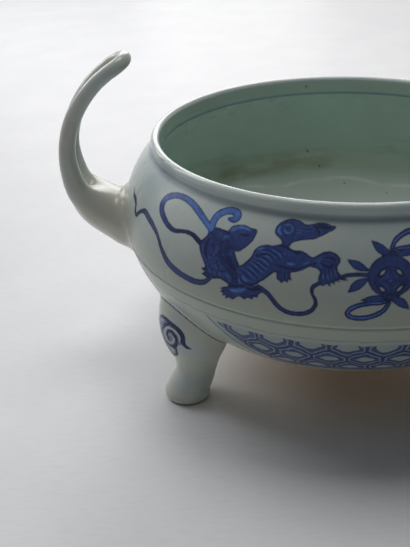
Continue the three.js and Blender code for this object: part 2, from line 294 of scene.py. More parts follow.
PETALS = [
    on_belly([(391.8, 254.6, 1.4), (381, 249, 7), (371.4, 240.3, 0.7)]),
    on_belly([(368.6, 270.5, 1.9), (357, 265.3, 6.7), (347.7, 259.8, 1)]),
    on_belly([(368, 279, 1.9), (357.5, 285, 7.2), (348.6, 292, 1.4)]),
    on_belly([(385.5, 297.6, 1.8), (374, 299.2, 5.8), (361.2, 300.2, 0.9)]),
]

# More of the painting, in millimetres on the belly: lines are (along, up, width)
BALL_CENTRE = (-1.1, 15.5)
BALL_HALF = (9.8, 9.0)
CLAW = [(-24.0, 16.8, 1.8), (-21.9, 14.9, 1.5), (-20.4, 14.1, 1.1), (-18.9, 13.7, 0.3)]
KNOT = [(-4.4, 24.0, 1.4), (-1.1, 24.9, 2.8), (2.4, 24.4, 1.6)]

# Dark brush lines inside the lion
LION_LINES = [
    # stripes across the body
    [(-54.5, 24, 0.5), (-52, 24.1, 0.9), (-49.8, 23.5, 1), (-48, 22.5, 1), (-46.8, 21, 0.9),
     (-46.2, 19.4, 0.5)],
    [(-57.5, 22.2, 0.5), (-55, 22.8, 0.9), (-52.9, 22.5, 1), (-51.3, 21.9, 1), (-49.9, 21, 1),
     (-48.7, 19.6, 0.6)],
    [(-59.7, 19.8, 0.6), (-57.5, 20.4, 1), (-55.5, 21.1, 1), (-53.8, 21, 1), (-52.4, 20.3, 1),
     (-50.9, 18.9, 0.7)],
    [(-59.6, 19, 0.5), (-57.5, 19.6, 0.9), (-55.6, 19.2, 1), (-54, 18.5, 1), (-52.4, 17.3, 0.8)],
    [(-59.9, 17.9, 0.5), (-57.8, 17.7, 0.9), (-56, 16.9, 1), (-54.3, 15.9, 0.9), (-52.7, 15.3, 0.6)],
    [(-60.8, 16.9, 0.5), (-58.8, 16.2, 0.9), (-57.3, 15.4, 1), (-55.7, 14.4, 0.9), (-53.9, 13.5, 0.6)],
    [(-62.6, 15.2, 0.5), (-60.8, 14.7, 0.9), (-59.2, 13.8, 1), (-57.6, 12.7, 1), (-55.9, 11.7, 0.6)],
    [(-64.8, 13.7, 0.6), (-62.8, 13.1, 0.9), (-61, 12.4, 1), (-59.4, 11.3, 1), (-57.6, 10.3, 0.6)],
    [(-66.2, 12.3, 0.6), (-64.4, 11.2, 1), (-62.8, 10.3, 1.1), (-61.4, 9.4, 1), (-59.9, 8.7, 0.6)],
    [(-66.4, 10.2, 0.6), (-65.4, 8.2, 0.9), (-63.8, 6.9, 1), (-61.7, 6.4, 1), (-60, 7.2, 0.7)],
    # back, belly and hind quarter
    [(-60.6, 21.6, 1), (-59.6, 23.4, 1.3), (-57.4, 24.6, 1.2), (-54, 25, 1.1), (-49.5, 25.6, 1.3),
     (-46.5, 25.4, 1.6), (-43.5, 24.2, 1.5), (-40, 23.9, 1.2)],
    [(-67, 13.6, 1.4), (-65.2, 14.4, 1.2), (-63, 16.6, 1.2), (-61.4, 19.2, 1.3), (-60.4, 21.8, 1.2)],
    [(-60.6, 6, 1.1), (-58, 7.6, 1.2), (-55.6, 9.6, 1.1), (-53, 11.9, 1.1), (-51.3, 13.8, 1.1)],
    [(-50.6, 17.2, 0.8), (-48, 17.1, 1.2), (-46, 16.6, 1.3), (-43, 16.5, 1.2), (-40, 17, 1),
     (-37.4, 18.1, 0.9), (-35, 19.3, 0.9), (-32.6, 19.9, 1.1)],
    [(-45.6, 22.6, 0.7), (-45.2, 20.8, 0.7), (-43.8, 19.6, 0.5)],
    [(-41.8, 23, 1.1), (-39.8, 22.8, 0.7)],
    [(-40.2, 19, 1), (-39.4, 18.8, 0.6)],
    [(-34.6, 22.6, 0.8), (-32.2, 23, 1), (-30.4, 23.9, 1), (-28, 24.4, 1)],
    [(-29.6, 22.4, 0.8), (-27.4, 22.8, 1.2), (-25, 22, 1.4), (-24.2, 20.8, 0.8)],
    [(-30, 21.4, 0.6), (-28, 20.9, 0.9), (-26, 20.8, 1)],
    [(-30.6, 20.4, 0.9), (-29, 19.4, 1.3), (-27, 18.9, 1.4), (-25.4, 19.6, 1.4)],
    [(-31.6, 18.6, 0.7), (-30.4, 17.2, 1.2), (-30.4, 14.4, 1.1), (-29.8, 11.4, 0.7)],
    [(-29, 18.4, 1), (-28.5, 15.6, 0.8), (-28, 13.4, 0.8), (-27.1, 11.4, 0.6)],
    [(-27.2, 18.6, 1), (-26.8, 16, 0.8), (-26.2, 13.8, 0.8), (-25.3, 11.6, 0.6)],
    [(-25.8, 18.8, 1), (-25.2, 16.4, 0.8), (-24.6, 14.4, 0.8), (-23.6, 12.2, 0.6)],
    [(-24.2, 20.2, 1.2), (-23.6, 17.6, 1.2), (-23, 15.6, 1), (-21.6, 13.8, 0.6)],
    # middle foot
    [(-49, 14.6, 1.3), (-48.7, 12.8, 1), (-48, 11.2, 0.7)],
    [(-47.5, 15, 1.1), (-47.2, 12.8, 0.8), (-46.6, 10.4, 0.7)],
    [(-45.9, 15, 1.1), (-45.6, 12.8, 0.8), (-45.2, 11, 0.7)],
    [(-44.2, 15.2, 1.1), (-43.8, 13.4, 0.9), (-42.7, 12, 0.7)],
    # front feet
    [(-71, 3.4, 0.8), (-73.4, 2.2, 0.9), (-75.6, 1.1, 0.6)],
    [(-70.6, 1.4, 0.7), (-72.6, 0.6, 0.8), (-75.4, -0.6, 0.6)],
    [(-70, -0.6, 0.7), (-72.2, -1.2, 0.8), (-74.4, -2.2, 0.6)],
    [(-66, -1, 0.8), (-69.4, -2.4, 1.1), (-72.9, -3.3, 0.8)],
    [(-64.6, -0.2, 0.9), (-62.4, -0.8, 0.9), (-59.8, -0.2, 0.8), (-57.4, 1.2, 0.7)],
    [(-62.8, 1.4, 0.8), (-60.2, 1.2, 0.8), (-57.6, 2.6, 0.9), (-55.6, 3.6, 0.7)],
    [(-62, 4.6, 1), (-59.8, 4.4, 1.6), (-57, 5.4, 1.8), (-55.2, 5.2, 1)],
    [(-70.6, 4, 1.2), (-68.2, 4.2, 1.5), (-65.4, 4.8, 1.2), (-63.4, 5.4, 1)],
    # tail
    [(-45.4, 29.8, 0.5), (-44.2, 31.2, 0.8), (-43.8, 33, 0.9), (-44.6, 34.8, 0.9), (-46.4, 36, 0.9),
     (-48.4, 36.1, 0.8), (-50.2, 35, 0.6)],
    [(-48.6, 33.9, 0.5), (-47.6, 33.3, 1.1), (-46.4, 32.9, 0.8)],
    [(-49.8, 33.8, 0.5), (-49.8, 31.6, 0.7), (-48.4, 30.2, 0.8), (-46.6, 29.9, 0.8)],
    [(-43.2, 35.5, 0.5), (-40.2, 34.9, 0.7), (-37.6, 35.2, 0.6)],
    [(-43.2, 34.1, 0.6), (-39.6, 33.6, 0.8), (-35.8, 34.1, 0.9)],
    [(-43.4, 32.7, 0.5), (-39.6, 32.2, 0.7), (-36.2, 32.5, 0.7)],
    [(-43.8, 31.3, 0.5), (-40.2, 30.8, 0.7), (-36.8, 31, 0.6)],
    [(-45.6, 29.2, 0.5), (-43.6, 28.6, 0.8), (-42.4, 28.7, 0.5)],
    [(-47.6, 28.4, 0.5), (-47.4, 26.8, 1)],
    [(-35.6, 36, 1.2), (-33.8, 34.6, 1.6), (-32.8, 33, 1.4), (-32.6, 31.9, 0.9)],
    [(-32.8, 36, 2.2), (-30.4, 35.4, 2.2), (-28.4, 35.2, 1.6), (-27.2, 35.3, 0.8)],
    # crown, ear and brow
    [(-83.4, 26.9, 0.7), (-80.8, 27.1, 0.8), (-77.8, 26.8, 0.8), (-75, 26.2, 0.8), (-72.4, 25.3, 0.8)],
    [(-74.6, 25.4, 0.5), (-73, 27.2, 0.5), (-70.6, 28.8, 0.3)],
    [(-73.4, 24.4, 0.6), (-71.4, 26.6, 0.5), (-68.4, 28.8, 0.3)],
    [(-72.4, 23.6, 0.8), (-70, 26, 0.5), (-66.4, 28.8, 0.3)],
    [(-71.4, 22.8, 0.9), (-68.8, 25.4, 0.6), (-64.8, 28.6, 0.3)],
    [(-70.4, 22, 0.9), (-67.8, 24.4, 0.6), (-63.8, 27.8, 0.3)],
    [(-69.6, 21.2, 0.9), (-66.8, 23.2, 0.6), (-63.2, 26.6, 0.3)],
    [(-68.8, 20.6, 0.8), (-66, 22.2, 0.5), (-63.4, 25, 0.3)],
    [(-69.8, 27, 0.8), (-68, 27.2, 1.4), (-66.2, 27.2, 1.6), (-64.4, 27.6, 1)],
    [(-78.6, 26.6, 0.4), (-77.6, 24.8, 0.5), (-77.8, 23, 0.4)],
    [(-80.6, 26.6, 0.4), (-79.8, 24.6, 0.5), (-80, 22.8, 0.4)],
    [(-84.4, 19.8, 0.5), (-82.6, 20, 0.6), (-81.6, 18.8, 0.5), (-82.4, 17.4, 0.4)],
    [(-79, 20.6, 0.5), (-77.4, 21.2, 0.6), (-75.8, 20.4, 0.6), (-75.6, 18.8, 0.5), (-76.8, 18, 0.4)],
    [(-83, 15.4, 0.5), (-81.4, 15.8, 0.6), (-80.6, 14.4, 0.5)],
    [(-84.2, 10.4, 0.4), (-83, 12, 0.6), (-81.2, 12.6, 0.5)],
    [(-79.6, 11.6, 0.5), (-77.8, 12.8, 0.6), (-76.4, 14.4, 0.5)],
    [(-74.4, 12.4, 0.5), (-74.8, 14.6, 0.6), (-74, 16.6, 0.5)],
    [(-82.6, 25.5, 0.7), (-81.6, 25.1, 0.8)],
    [(-84.2, 24.6, 1.4), (-82, 22.6, 1.2), (-79.6, 21.6, 1), (-76.8, 22, 0.9), (-74.4, 23.4, 0.8)],
    [(-81.6, 21.4, 0.9), (-81.8, 19.4, 1.2), (-80.8, 17.6, 0.7)],
    [(-84.8, 21.6, 1.6), (-85.6, 18.6, 2.2), (-85, 15.4, 2), (-83.4, 12.6, 1.2)],
    [(-79.6, 15.9, 1), (-78.6, 15.3, 1)],
    [(-77.4, 19.6, 0.8), (-76.2, 18, 1), (-77, 16.2, 0.7)],
    [(-72.8, 15.6, 2.6), (-71, 13.4, 3), (-69.4, 12, 2.4)],
    [(-74, 18.8, 1.2), (-72.6, 20.6, 1.4), (-70.6, 20.2, 1.2)],
    [(-78.4, 13.4, 0.9), (-77.4, 11, 0.9), (-75.4, 9.2, 1), (-72.8, 9.6, 0.8)],
    [(-82.8, 11.4, 0.8), (-81, 9.4, 0.9), (-78.6, 9.2, 0.7)],
    [(-83.6, 9, 0.8), (-82.4, 6.8, 0.9), (-80.6, 5.6, 0.8)],
    [(-80.4, 8.8, 0.5), (-79.9, 6.6, 0.7), (-78.6, 5.4, 0.8)],
    [(-77.4, 8.6, 0.5), (-76.8, 6.8, 0.8), (-75.2, 5.8, 0.9), (-73.4, 5, 0.8)],
    [(-74.2, 7.6, 0.5), (-72.8, 6.4, 0.8), (-71.8, 4.6, 0.9)],
    [(-70.2, 9.6, 0.9), (-69.2, 7.4, 1.2), (-69.4, 5.2, 0.9)],
    [(-67.6, 10.6, 1), (-67.4, 8, 1.2), (-66.8, 6, 0.7)],
]
BODY_STRIPES = 10
# Pale strokes between the body's stripes: share of a stripe's width, then the shift to its left and down
STRIPE_SHARE = (1, 1, 0.55)
STRIPE_SHIFT = (-0.55, -0.75, 0)

# Strands of the mane, lighter strokes side by side: top, middle and end of the first and the last one
MANE_STRANDS = 9
MANE_TOP = ((-87.2, 19.2), (-74.4, 12))
MANE_MIDDLE = ((-86.2, 13), (-71.8, 8.8))
MANE_END = ((-83.4, 6.6), (-67.2, 4.8))
MANE_WIDTHS = (0.3, 0.75, 0.4)

# Lighter strokes left in the dark washes of the lion
LION_LIGHTS = [
    [(-59.6, 21.9, 0.5), (-57.9, 23.1, 0.9), (-55.8, 23.5, 0.5)],
    [(-52.7, 23.4, 0.5), (-51.1, 22.9, 0.8), (-49.5, 22.2, 0.8), (-48, 20.9, 0.6)],
    [(-79.3, 19, 1.6), (-79.4, 17.2, 1.7), (-80.2, 15.4, 0.8)],
    [(-83.1, 18, 0.7), (-82.4, 17.3, 0.9), (-81.9, 16.5, 0.6)],
    [(-77.7, 23.6, 0.8), (-77.3, 23.1, 0.7)],
    [(-77.6, 24.6, 1), (-76.2, 24.5, 1.5), (-74.6, 24.8, 0.9)],
    [(-81.4, 25.9, 0.6), (-79.4, 25.2, 0.9), (-78.6, 24.4, 0.5)],
    [(-75.7, 16.8, 0.8), (-75.3, 16.2, 0.7)],
    [(-71.9, 18, 0.9), (-71.4, 17.5, 0.8)],
    [(-80.4, 14.2, 0.7), (-79.8, 12.8, 0.5)],
    [(-75.9, 12.2, 0.4), (-75.2, 10.6, 0.7)],
    [(-81.6, 7.9, 0.9), (-81.2, 7.2, 0.9)],
    [(-79, 7.9, 0.9), (-78.4, 7.1, 0.9)],
    [(-76.1, 7.9, 0.8), (-75.6, 7.1, 0.8)],
    [(-73.4, 9.2, 0.6), (-71.8, 8.4, 1), (-70.8, 6.4, 0.9), (-70.6, 5.2, 0.5)],
    [(-66.4, 9.2, 0.5), (-66, 7, 0.8), (-65.6, 5.8, 0.5)],
    [(-64.6, 9.4, 0.8), (-63.6, 8.4, 1.4), (-62.4, 7.8, 0.8)],
    [(-87.6, 18.6, 0.5), (-87, 15.8, 0.6), (-85.6, 13, 0.4)],
    [(-84.4, 21.8, 0.4), (-83.9, 20.2, 0.5)],
    [(-69.9, 1.8, 1.2), (-67.6, 2.1, 1.8), (-65.2, 3, 2.2), (-63, 4, 1.4)],
    [(-67, 0, 0.6), (-65.4, 0.3, 0.7)],
    [(-60.8, 0.9, 0.4), (-58.4, 1.7, 0.5)],
    [(-45.6, 18.4, 0.6), (-43.4, 18.6, 1), (-41.4, 18.7, 0.6)],
    [(-37.8, 19.2, 0.4), (-36, 19.9, 0.4)],
    [(-28.8, 16.6, 0.4), (-29.2, 14.4, 0.6), (-28.9, 13, 0.4)],
    [(-27.5, 16.8, 0.4), (-27.2, 14.8, 0.7), (-26.8, 13.2, 0.4)],
    [(-26.1, 17.2, 0.4), (-25.8, 15.6, 0.6), (-25.4, 14, 0.4)],
    [(-24.9, 18.4, 0.4), (-24.3, 16.6, 0.6), (-23.9, 15.2, 0.4)],
    [(-48.1, 13.8, 0.4), (-47.9, 12.6, 0.4)],
    [(-46.6, 13.8, 0.4), (-46.4, 12.6, 0.4)],
    [(-51.2, 33.6, 0.8), (-51.4, 31.8, 1.3), (-50, 30.6, 1.2)],
    [(-48.9, 34.6, 0.5), (-47, 35, 0.8), (-45.3, 34, 0.8), (-45, 32.4, 0.8), (-46.4, 31.3, 0.9),
     (-48.2, 31.8, 1), (-48.8, 33, 0.7)],
    [(-74.6, 28.2, 1.2), (-72.4, 29.6, 1.9), (-69.6, 30.4, 1.6), (-66.6, 30.1, 1.1), (-64.6, 29.6, 0.5)],
    [(-74.4, 27.4, 1), (-72.8, 28.6, 1.4), (-71.4, 29.2, 0.8)],
    [(-42.6, 34.8, 0.4), (-39, 34.3, 0.4)],
    [(-42.6, 33.4, 0.4), (-38.4, 32.9, 0.4)],
    [(-42.6, 32, 0.4), (-39, 31.5, 0.4)],
]

# Ball: rings as (centre up, half width, half height, line width), the coin pattern's four bare
# lenses and the pale strokes that go with each, about the middle of the inner ring
BALL_REACH = 16
BALL_RINGS = [(15.5, 8.7, 8.2, 0.55), (15.1, 7.5, 7.1, 0.55), (13.6, 6.3, 5.9, 0.9)]
COIN_CENTRE = (-1.1, 13.6)
COIN_LENS = [(4.9, -1.5, 0.2), (5, 0, 1.1), (4.9, 1.5, 0.2)]
COIN_STROKES = [[(3.5, -2.6, 0.3), (3.1, 0, 0.5), (3.5, 2.6, 0.3)],
                [(2.5, -2, 0.2), (2, 0, 0.4), (2.5, 2, 0.2)]]
COIN_STAR = [(-0.2, 0, 0.7), (0.2, 0, 0.7)]
COIN_TONE = 0.65
BALL_TONE = 0.5

# How dark the cobalt lies, from 0 to 1: at the start and the end of ribbons, and all over a wash
RIBBONS = [(LOOP_UPPER, (0, 0.9)), (RIBBON_LEFT, (0.85, 0.45)), (CURL * (1, 1, 1.4), (0.15, 0.25)),
           (RIBBON_LOW, (0.6, 0.5)), (RIBBON_BALL, (0.5, 0.4))]
CLAW_TONE = (0.6, 0.6)
PETAL_TONE = (0.48, 0.48)
KNOT_TONE = (0.7, 0.7)
LOOP_TONE = (0.55, 0.55)
WASHES = [(TAIL, 0.5), (PAWS, 0.55), (TORSO, 0.48), (TUFT, 0.5), (HEAD, 0.68)]

PETAL_SPREAD = 1.35
LOOP_SPREAD = (1, 1, 1.25)
LOOP_PALE = (1, 1, 0.3)
VEIN_WIDTH = 0.35

FIELDS = ("wash", "line", "pale", "tone")
CLEAR = 6.0
PLAIN_TONE = 0.5


def segment_field(x, y, path, closed=False):
    """Distance to a path less its half width, and how far along the path the nearest point lies."""
    a = np.vstack([path, path[:1]]) if closed else path
    count = len(a) - 1
    best = np.full(x.shape, 1e9)
    along = np.zeros(x.shape)
    for k in range(count):
        t, square = nearest((x, y), a[k, :2], a[k + 1, :2])
        half = 0 if closed else (a[k, 2] + (a[k + 1, 2] - a[k, 2]) * t) / 2
        d = np.sqrt(square) - half
        near = d < best
        best = np.where(near, d, best)
        along = np.where(near, (k + t) / count, along)
    return best, along


def inside_path(x, y, path):
    """True where a point lies inside the closed path."""
    result = np.zeros(x.shape, bool)
    for (ax, ay), (bx, by) in zip(path[:, :2], np.roll(path[:, :2], -1, 0)):
        if ay != by:
            result ^= ((ay > y) != (by > y)) & (x < (bx - ax) * (y - ay) / (by - ay) + ax)
    return result


class Canvas:
    """Painted fields at the mesh points of a surface: millimetres from each kind of brush mark."""

    def __init__(self, x, y):
        self.x, self.y = x, y
        self.wash, self.line, self.pale = (np.full(x.shape, CLEAR) for _ in range(3))
        self.tone = np.full(x.shape, PLAIN_TONE)

    def stroke(self, path, closed=False):
        """Mesh points near a path, their distance from it and how far along it they lie."""
        lo, hi = path[:, :2].min(0) - CLEAR, path[:, :2].max(0) + CLEAR
        at = (self.x > lo[0]) & (self.x < hi[0]) & (self.y > lo[1]) & (self.y < hi[1])
        at = np.nonzero(at)[0]
        return (at, *segment_field(self.x[at], self.y[at], path, closed))

    def put_wash(self, at, d, tone):
        near = d < self.wash[at]
        self.wash[at] = np.where(near, d, self.wash[at])
        self.tone[at] = np.where(near, tone, self.tone[at])

    def ribbon(self, path, tone):
        at, d, along = self.stroke(path)
        self.put_wash(at, d, tone[0] + (tone[1] - tone[0]) * along)

    def shape(self, path, tone):
        at, d, _ = self.stroke(path, closed=True)
        inside = inside_path(self.x[at], self.y[at], path)
        self.put_wash(at, np.where(inside, -d, d), tone)

    def mark(self, field, path):
        at, d, _ = self.stroke(path)
        values = getattr(self, field)
        values[at] = np.minimum(values[at], d)

    def deepen(self, path, tone):
        """Stroke of its own tone over whatever wash is there."""
        at, d, _ = self.stroke(path)
        self.tone[at[d < 0]] = tone
        self.put_wash(at, d, tone)

    def leave_bare(self, path):
        at, d, _ = self.stroke(path)
        self.wash[at] = np.maximum(self.wash[at], -d)

    def ring(self, centre, half, width):
        at = np.nonzero(np.hypot(self.x - centre[0], self.y - centre[1]) < max(half) + CLEAR)[0]
        x, y = (self.x[at] - centre[0]) / half[0], (self.y[at] - centre[1]) / half[1]
        d = np.abs(np.hypot(x, y) - 1) * min(half) - width / 2
        self.line[at] = np.minimum(self.line[at], d)


def moved(points, flip=False, turn=None):
    """Copy of painted points, mirrored about the ball's middle or turned half round about a point."""
    p = np.array(points, float)
    if flip:
        p[:, 0] = 2 * BALL_CENTRE[0] - p[:, 0]
    if turn:
        p[:, :2] = 2 * np.array(turn) - p[:, :2]
    return p


def about(points, centre, turn):
    """Points given as (outward, sideways, width) about a centre, turned by an angle."""
    c, s = math.cos(turn), math.sin(turn)
    return np.array([(centre[0] + a * c - b * s, centre[1] + a * s + b * c, w) for a, b, w in points])


def mane():
    """Strokes (along, up, width) of the mane's strands."""
    for t in np.linspace(0, 1, MANE_STRANDS):
        yield [(*(np.array(first) * (1 - t) + np.array(last) * t), width)
               for (first, last), width in zip((MANE_TOP, MANE_MIDDLE, MANE_END), MANE_WIDTHS)]


def closed_curve(points, per_span):
    return spline(np.vstack([points, points[:1]]), per_span)[:-1]


def paint_lion(canvas, flip):
    for points, tone in RIBBONS:
        canvas.ribbon(spline(moved(points, flip), 6), tone)
    canvas.ribbon(spline(moved(CLAW, flip), 4), CLAW_TONE)
    for points, tone in WASHES:
        canvas.shape(closed_curve(moved(points, flip), 3), tone)
    for points in LION_LINES:
        canvas.mark("line", spline(moved(points, flip), 4))
    between = [np.array(points) * STRIPE_SHARE + STRIPE_SHIFT for points in LION_LINES[:BODY_STRIPES]]
    for points in [*LION_LIGHTS, *mane(), *between]:
        canvas.mark("pale", spline(moved(points, flip), 4))


def paint_bows(canvas, half_turn):
    """Petals, knot and loop on one side of the ball."""
    for petal in PETALS:
        path = spline(moved(petal, turn=half_turn), 8) * (1, 1, PETAL_SPREAD)
        canvas.ribbon(path, PETAL_TONE)
        canvas.mark("line", path[4:-4] * (1, 1, 0) + (0, 0, VEIN_WIDTH))
    canvas.ribbon(spline(moved(KNOT, turn=half_turn), 4), KNOT_TONE)
    loop = spline(moved(LOOP_LOW * LOOP_SPREAD, turn=half_turn), 6)
    canvas.ribbon(loop, LOOP_TONE)
    canvas.mark("pale", loop * LOOP_PALE)


def paint_ball(canvas):
    x, y = canvas.x - BALL_CENTRE[0], canvas.y - BALL_CENTRE[1]
    at = np.nonzero(np.hypot(x, y) < BALL_REACH)[0]
    _, wide, tall, _ = BALL_RINGS[-1]
    ball = np.hypot(x[at] / BALL_HALF[0], y[at] / BALL_HALF[1]) - 1
    coin = np.hypot((canvas.x[at] - COIN_CENTRE[0]) / wide, (canvas.y[at] - COIN_CENTRE[1]) / tall)
    canvas.put_wash(at, ball * BALL_HALF[1], np.where(coin < 1, COIN_TONE, BALL_TONE))
    for up, wide, tall, width in BALL_RINGS:
        canvas.ring((BALL_CENTRE[0], up), (wide, tall), width)
    for quarter in range(4):
        turn = math.radians(45 + 90 * quarter)
        canvas.leave_bare(spline(about(COIN_LENS, COIN_CENTRE, turn), 6))
        for stroke in COIN_STROKES:
            canvas.mark("pale", spline(about(stroke, COIN_CENTRE, turn), 6))
    for turn in (0, math.pi / 2):
        canvas.mark("pale", about(COIN_STAR, COIN_CENTRE, turn))


def paint_belly(x, y):
    """One group of two lions with the ball between them."""
    canvas = Canvas(x, y)
    for flip in (False, True):
        paint_lion(canvas, flip)
    for half_turn in (None, BALL_CENTRE):
        paint_bows(canvas, half_turn)
    paint_ball(canvas)
    return canvas


def save_fields(mesh, fields):
    for name, values in fields.items():
        attribute = mesh.attributes.new(name, "FLOAT", "POINT")
        attribute.data.foreach_set("value", np.ascontiguousarray(values, dtype=np.float32))


def make_object(name, points, faces):
    """Smooth-shaded object from points in millimetres."""
    mesh = bpy.data.meshes.new(name)
    mesh.from_pydata((np.asarray(points) * MM).tolist(), [], faces)
    mesh.update()
    mesh.shade_smooth()
    mesh.set_sharp_from_angle(angle=SHARP)
    thing = bpy.data.objects.new(name, mesh)
    bpy.context.scene.collection.objects.link(thing)
    return thing


def turned(rows):
    """Points and faces of a shape turned about Z: rows of (radius, height, columns), closed in a ring."""
    points, faces, starts = [], [], []
    for r, z, columns in rows:
        starts.append(len(points))
        turn = np.arange(columns) * (2 * math.pi / columns)
        points.extend(zip(r * np.sin(turn), -r * np.cos(turn), np.full(columns, z)))
    for k, (_, _, columns) in enumerate(rows):
        after = (k + 1) % len(rows)
        others = rows[after][2]
        count = min(columns, others)
        here, there = columns // count, others // count
        for j in range(count):
            near = [starts[k] + (j * here + m) % columns for m in range(here + 1)]
            far = [starts[after] + (j * there + m) % others for m in range(there, -1, -1)]
            faces.append((*near, *far))
    return points, faces


def seam_turn(radius):
    return math.asin((LUTE_Z - BELLY_CZ) / radius)


def seam_edge(side):
    """Points from inside the seam out over its rounded edge, above it for side 1, below it for side -1."""
    seam_r = BELLY_CR + math.sqrt(BELLY_ARC ** 2 - (LUTE_Z - BELLY_CZ) ** 2)
    edge = [(seam_r - inset * SEAM_ROUND, LUTE_Z + side * rise * SEAM_ROUND) for inset, rise in SEAM_EDGE]
    return [(seam_r - SEAM_DEPTH, LUTE_Z), *edge]


def groove_centre():
    """Middle of the groove's arc, which touches the lip and the belly from outside."""
    a, b = LIP_RADIUS + GROOVE_RADIUS, BELLY_ARC + GROOVE_RADIUS
    dx, dz = BELLY_CR - LIP_CR, BELLY_CZ - LIP_CZ
    span = math.hypot(dx, dz)
    along = (a * a - b * b + span * span) / (2 * span)
    off = math.sqrt(a * a - along * along)
    return LIP_CR + (dx * along - dz * off) / span, LIP_CZ + (dz * along + dx * off) / span


def upper_wall():
    """Rows of the upper wall, up outside from the seam and down inside, and how many carry the painting."""
    inner_arc = BELLY_ARC - WALL
    groove_r, groove_z = groove_centre()
    belly_turn = math.atan2(groove_z - BELLY_CZ, groove_r - BELLY_CR)
    lip_turn = math.atan2(groove_z - LIP_CZ, groove_r - LIP_CR)
    round_r = THROAT_R + INNER_ROUND
    round_z = BELLY_CZ + math.sqrt((inner_arc + INNER_ROUND) ** 2 - (round_r - BELLY_CR) ** 2)
    inner_turn = math.atan2(round_z - BELLY_CZ, round_r - BELLY_CR)
    start = seam_turn(BELLY_ARC) + SEAM_ROUND / BELLY_ARC
    belly = arc(BELLY_CR, BELLY_CZ, BELLY_ARC, start, belly_turn, PAINT_ROW)
    rest = arc(groove_r, groove_z, GROOVE_RADIUS, math.pi + belly_turn, math.pi + lip_turn,
                GROOVE_ROW)[1:]
    rest += arc(LIP_CR, LIP_CZ, LIP_RADIUS, lip_turn, math.pi, LIP_ROW)[1:]
    rest += arc(round_r, round_z, INNER_ROUND, math.pi, math.pi + inner_turn, ROUND_ROW)
    rest += arc(BELLY_CR, BELLY_CZ, inner_arc, inner_turn, seam_turn(inner_arc), WALL_ROW)[1:]
    rest += seam_edge(1)
    return [(*p, FINE) for p in belly] + [(*p, COARSE) for p in rest], len(belly)


def lower_bowl():
    """Rows of the lower bowl, from the middle of its bottom up outside and down inside to its floor."""
    inner_arc = BELLY_ARC - WALL
    inner_under = UNDER_ARC - WALL
    floor_cr, floor_cz, floor_turn = round_centre(FLOOR_LEVEL, inner_under, FLOOR_CORNER)
    down = -math.pi / 2
    seam = seam_turn(BELLY_ARC) - SEAM_ROUND / BELLY_ARC
    points = [(r, BASE_HEIGHT) for r in BOTTOM_ROWS]
    points += arc(BASE_CR, BASE_CZ, BASE_CORNER, down, BASE_TURN, UNDER_ROW)
    points += arc(UNDER_CR, UNDER_CZ, UNDER_ARC, BASE_TURN, BELLY_END, UNDER_ROW)[1:]
    points += arc(BELLY_CR, BELLY_CZ, BELLY_ARC, BELLY_END, seam, SEAM_ROW)[1:]
    points += seam_edge(-1)[::-1]
    points += arc(BELLY_CR, BELLY_CZ, inner_arc, seam_turn(inner_arc), BELLY_END, UNDER_ROW)
    points += arc(UNDER_CR, UNDER_CZ, inner_under, BELLY_END, floor_turn, INNER_ROW)[1:]
    points += arc(floor_cr, floor_cz, FLOOR_CORNER, floor_turn, down, INNER_ROW)[1:]
    points += [(r, FLOOR_LEVEL) for r in FLOOR_ROWS]
    return [(*p, COARSE) for p in points]


# Handles and legs run into the bowl: width of the blend as a share of the fillet, how deep they stay
# joined under the bowl's skin, and how far their own skin lies inside the blend
BLEND_SHARE = 1.15
BLEND_DEPTH = 1.0
SKIRT = 0.06


def run_into_bowl(body, p, fillet):
    """Field of a solid that runs into the bowl's skin with a fillet."""
    bowl = bowl_distance(np.hypot(p[:, 0], p[:, 1]), p[:, 2])
    joined = smooth_min(body, bowl, fillet) + SKIRT
    return np.maximum(np.maximum(joined, -(bowl + BLEND_DEPTH)), body - fillet * BLEND_SHARE)


# Loop handle, from the same values as the CAD source, as shares of its height over the widest line:
# ROD_LINE is (out, up), STUB is (out, up, tall, wide) with the last two as shares of its half size
HANDLE_HEIGHT = 76.3
HANDLE_HALF_SPREAD = 8.85
ROD_LINE = [
    (0.066, 0.014), (0.182, 0.087), (0.299, 0.191), (0.342, 0.325), (0.353, 0.465), (0.334, 0.587),
    (0.29, 0.706), (0.219, 0.823), (0.128, 0.927), (0.038, 1),
]
ROD_RADII = (6.2, 4.25, 3.75)
ROD_TAPERS = ((0.15, 0.55), (0.6, 1.0))
ARCH_RISE = math.radians(30)
ARCH_STEPS = 12
STUB_HALF = 16.0
STUB = [
    (-0.183, -0.072, 1.03, 1.22), (-0.052, -0.059, 1, 1.18), (0, -0.043, 0.93, 1.03),
    (0.092, -0.008, 0.81, 0.9), (0.172, 0.036, 0.72, 0.88), (0.255, 0.074, 0.5, 0.66),
    (0.306, 0.145, 0.31, 0.46),
]
HANDLE_FILLET = 6.0
CROTCH_FILLET = 6.5


def handle_place(out, up):
    return BELLY_R + out * HANDLE_HEIGHT, BELLY_CZ + up * HANDLE_HEIGHT


def rod_path():
    """Rows of (x, y, z, radius) up one rod and round to the top of the arch."""
    line = spline([handle_place(*p) for p in ROD_LINE], 8)
    length = np.concatenate([[0], np.cumsum(np.hypot(*np.diff(line, axis=0).T))])
    t = length / length[-1]
    root, middle, tip = ROD_RADII
    to_middle, to_tip = (smoothstep(t, *taper) for taper in ROD_TAPERS)
    radius = root + (middle - root) * to_middle + (tip - middle) * to_tip
    rows = [(x, HANDLE_HALF_SPREAD, z, r) for (x, z), r in zip(line, radius)]
    end_x, end_z = line[-1]
    for turn in np.linspace(0, math.pi / 2, ARCH_STEPS + 1)[1:]:
        reach = HANDLE_HALF_SPREAD * math.sin(turn)
        rows.append((end_x - math.cos(ARCH_RISE) * reach, HANDLE_HALF_SPREAD * math.cos(turn),
                     end_z + math.sin(ARCH_RISE) * reach, tip))
    return np.array(rows)


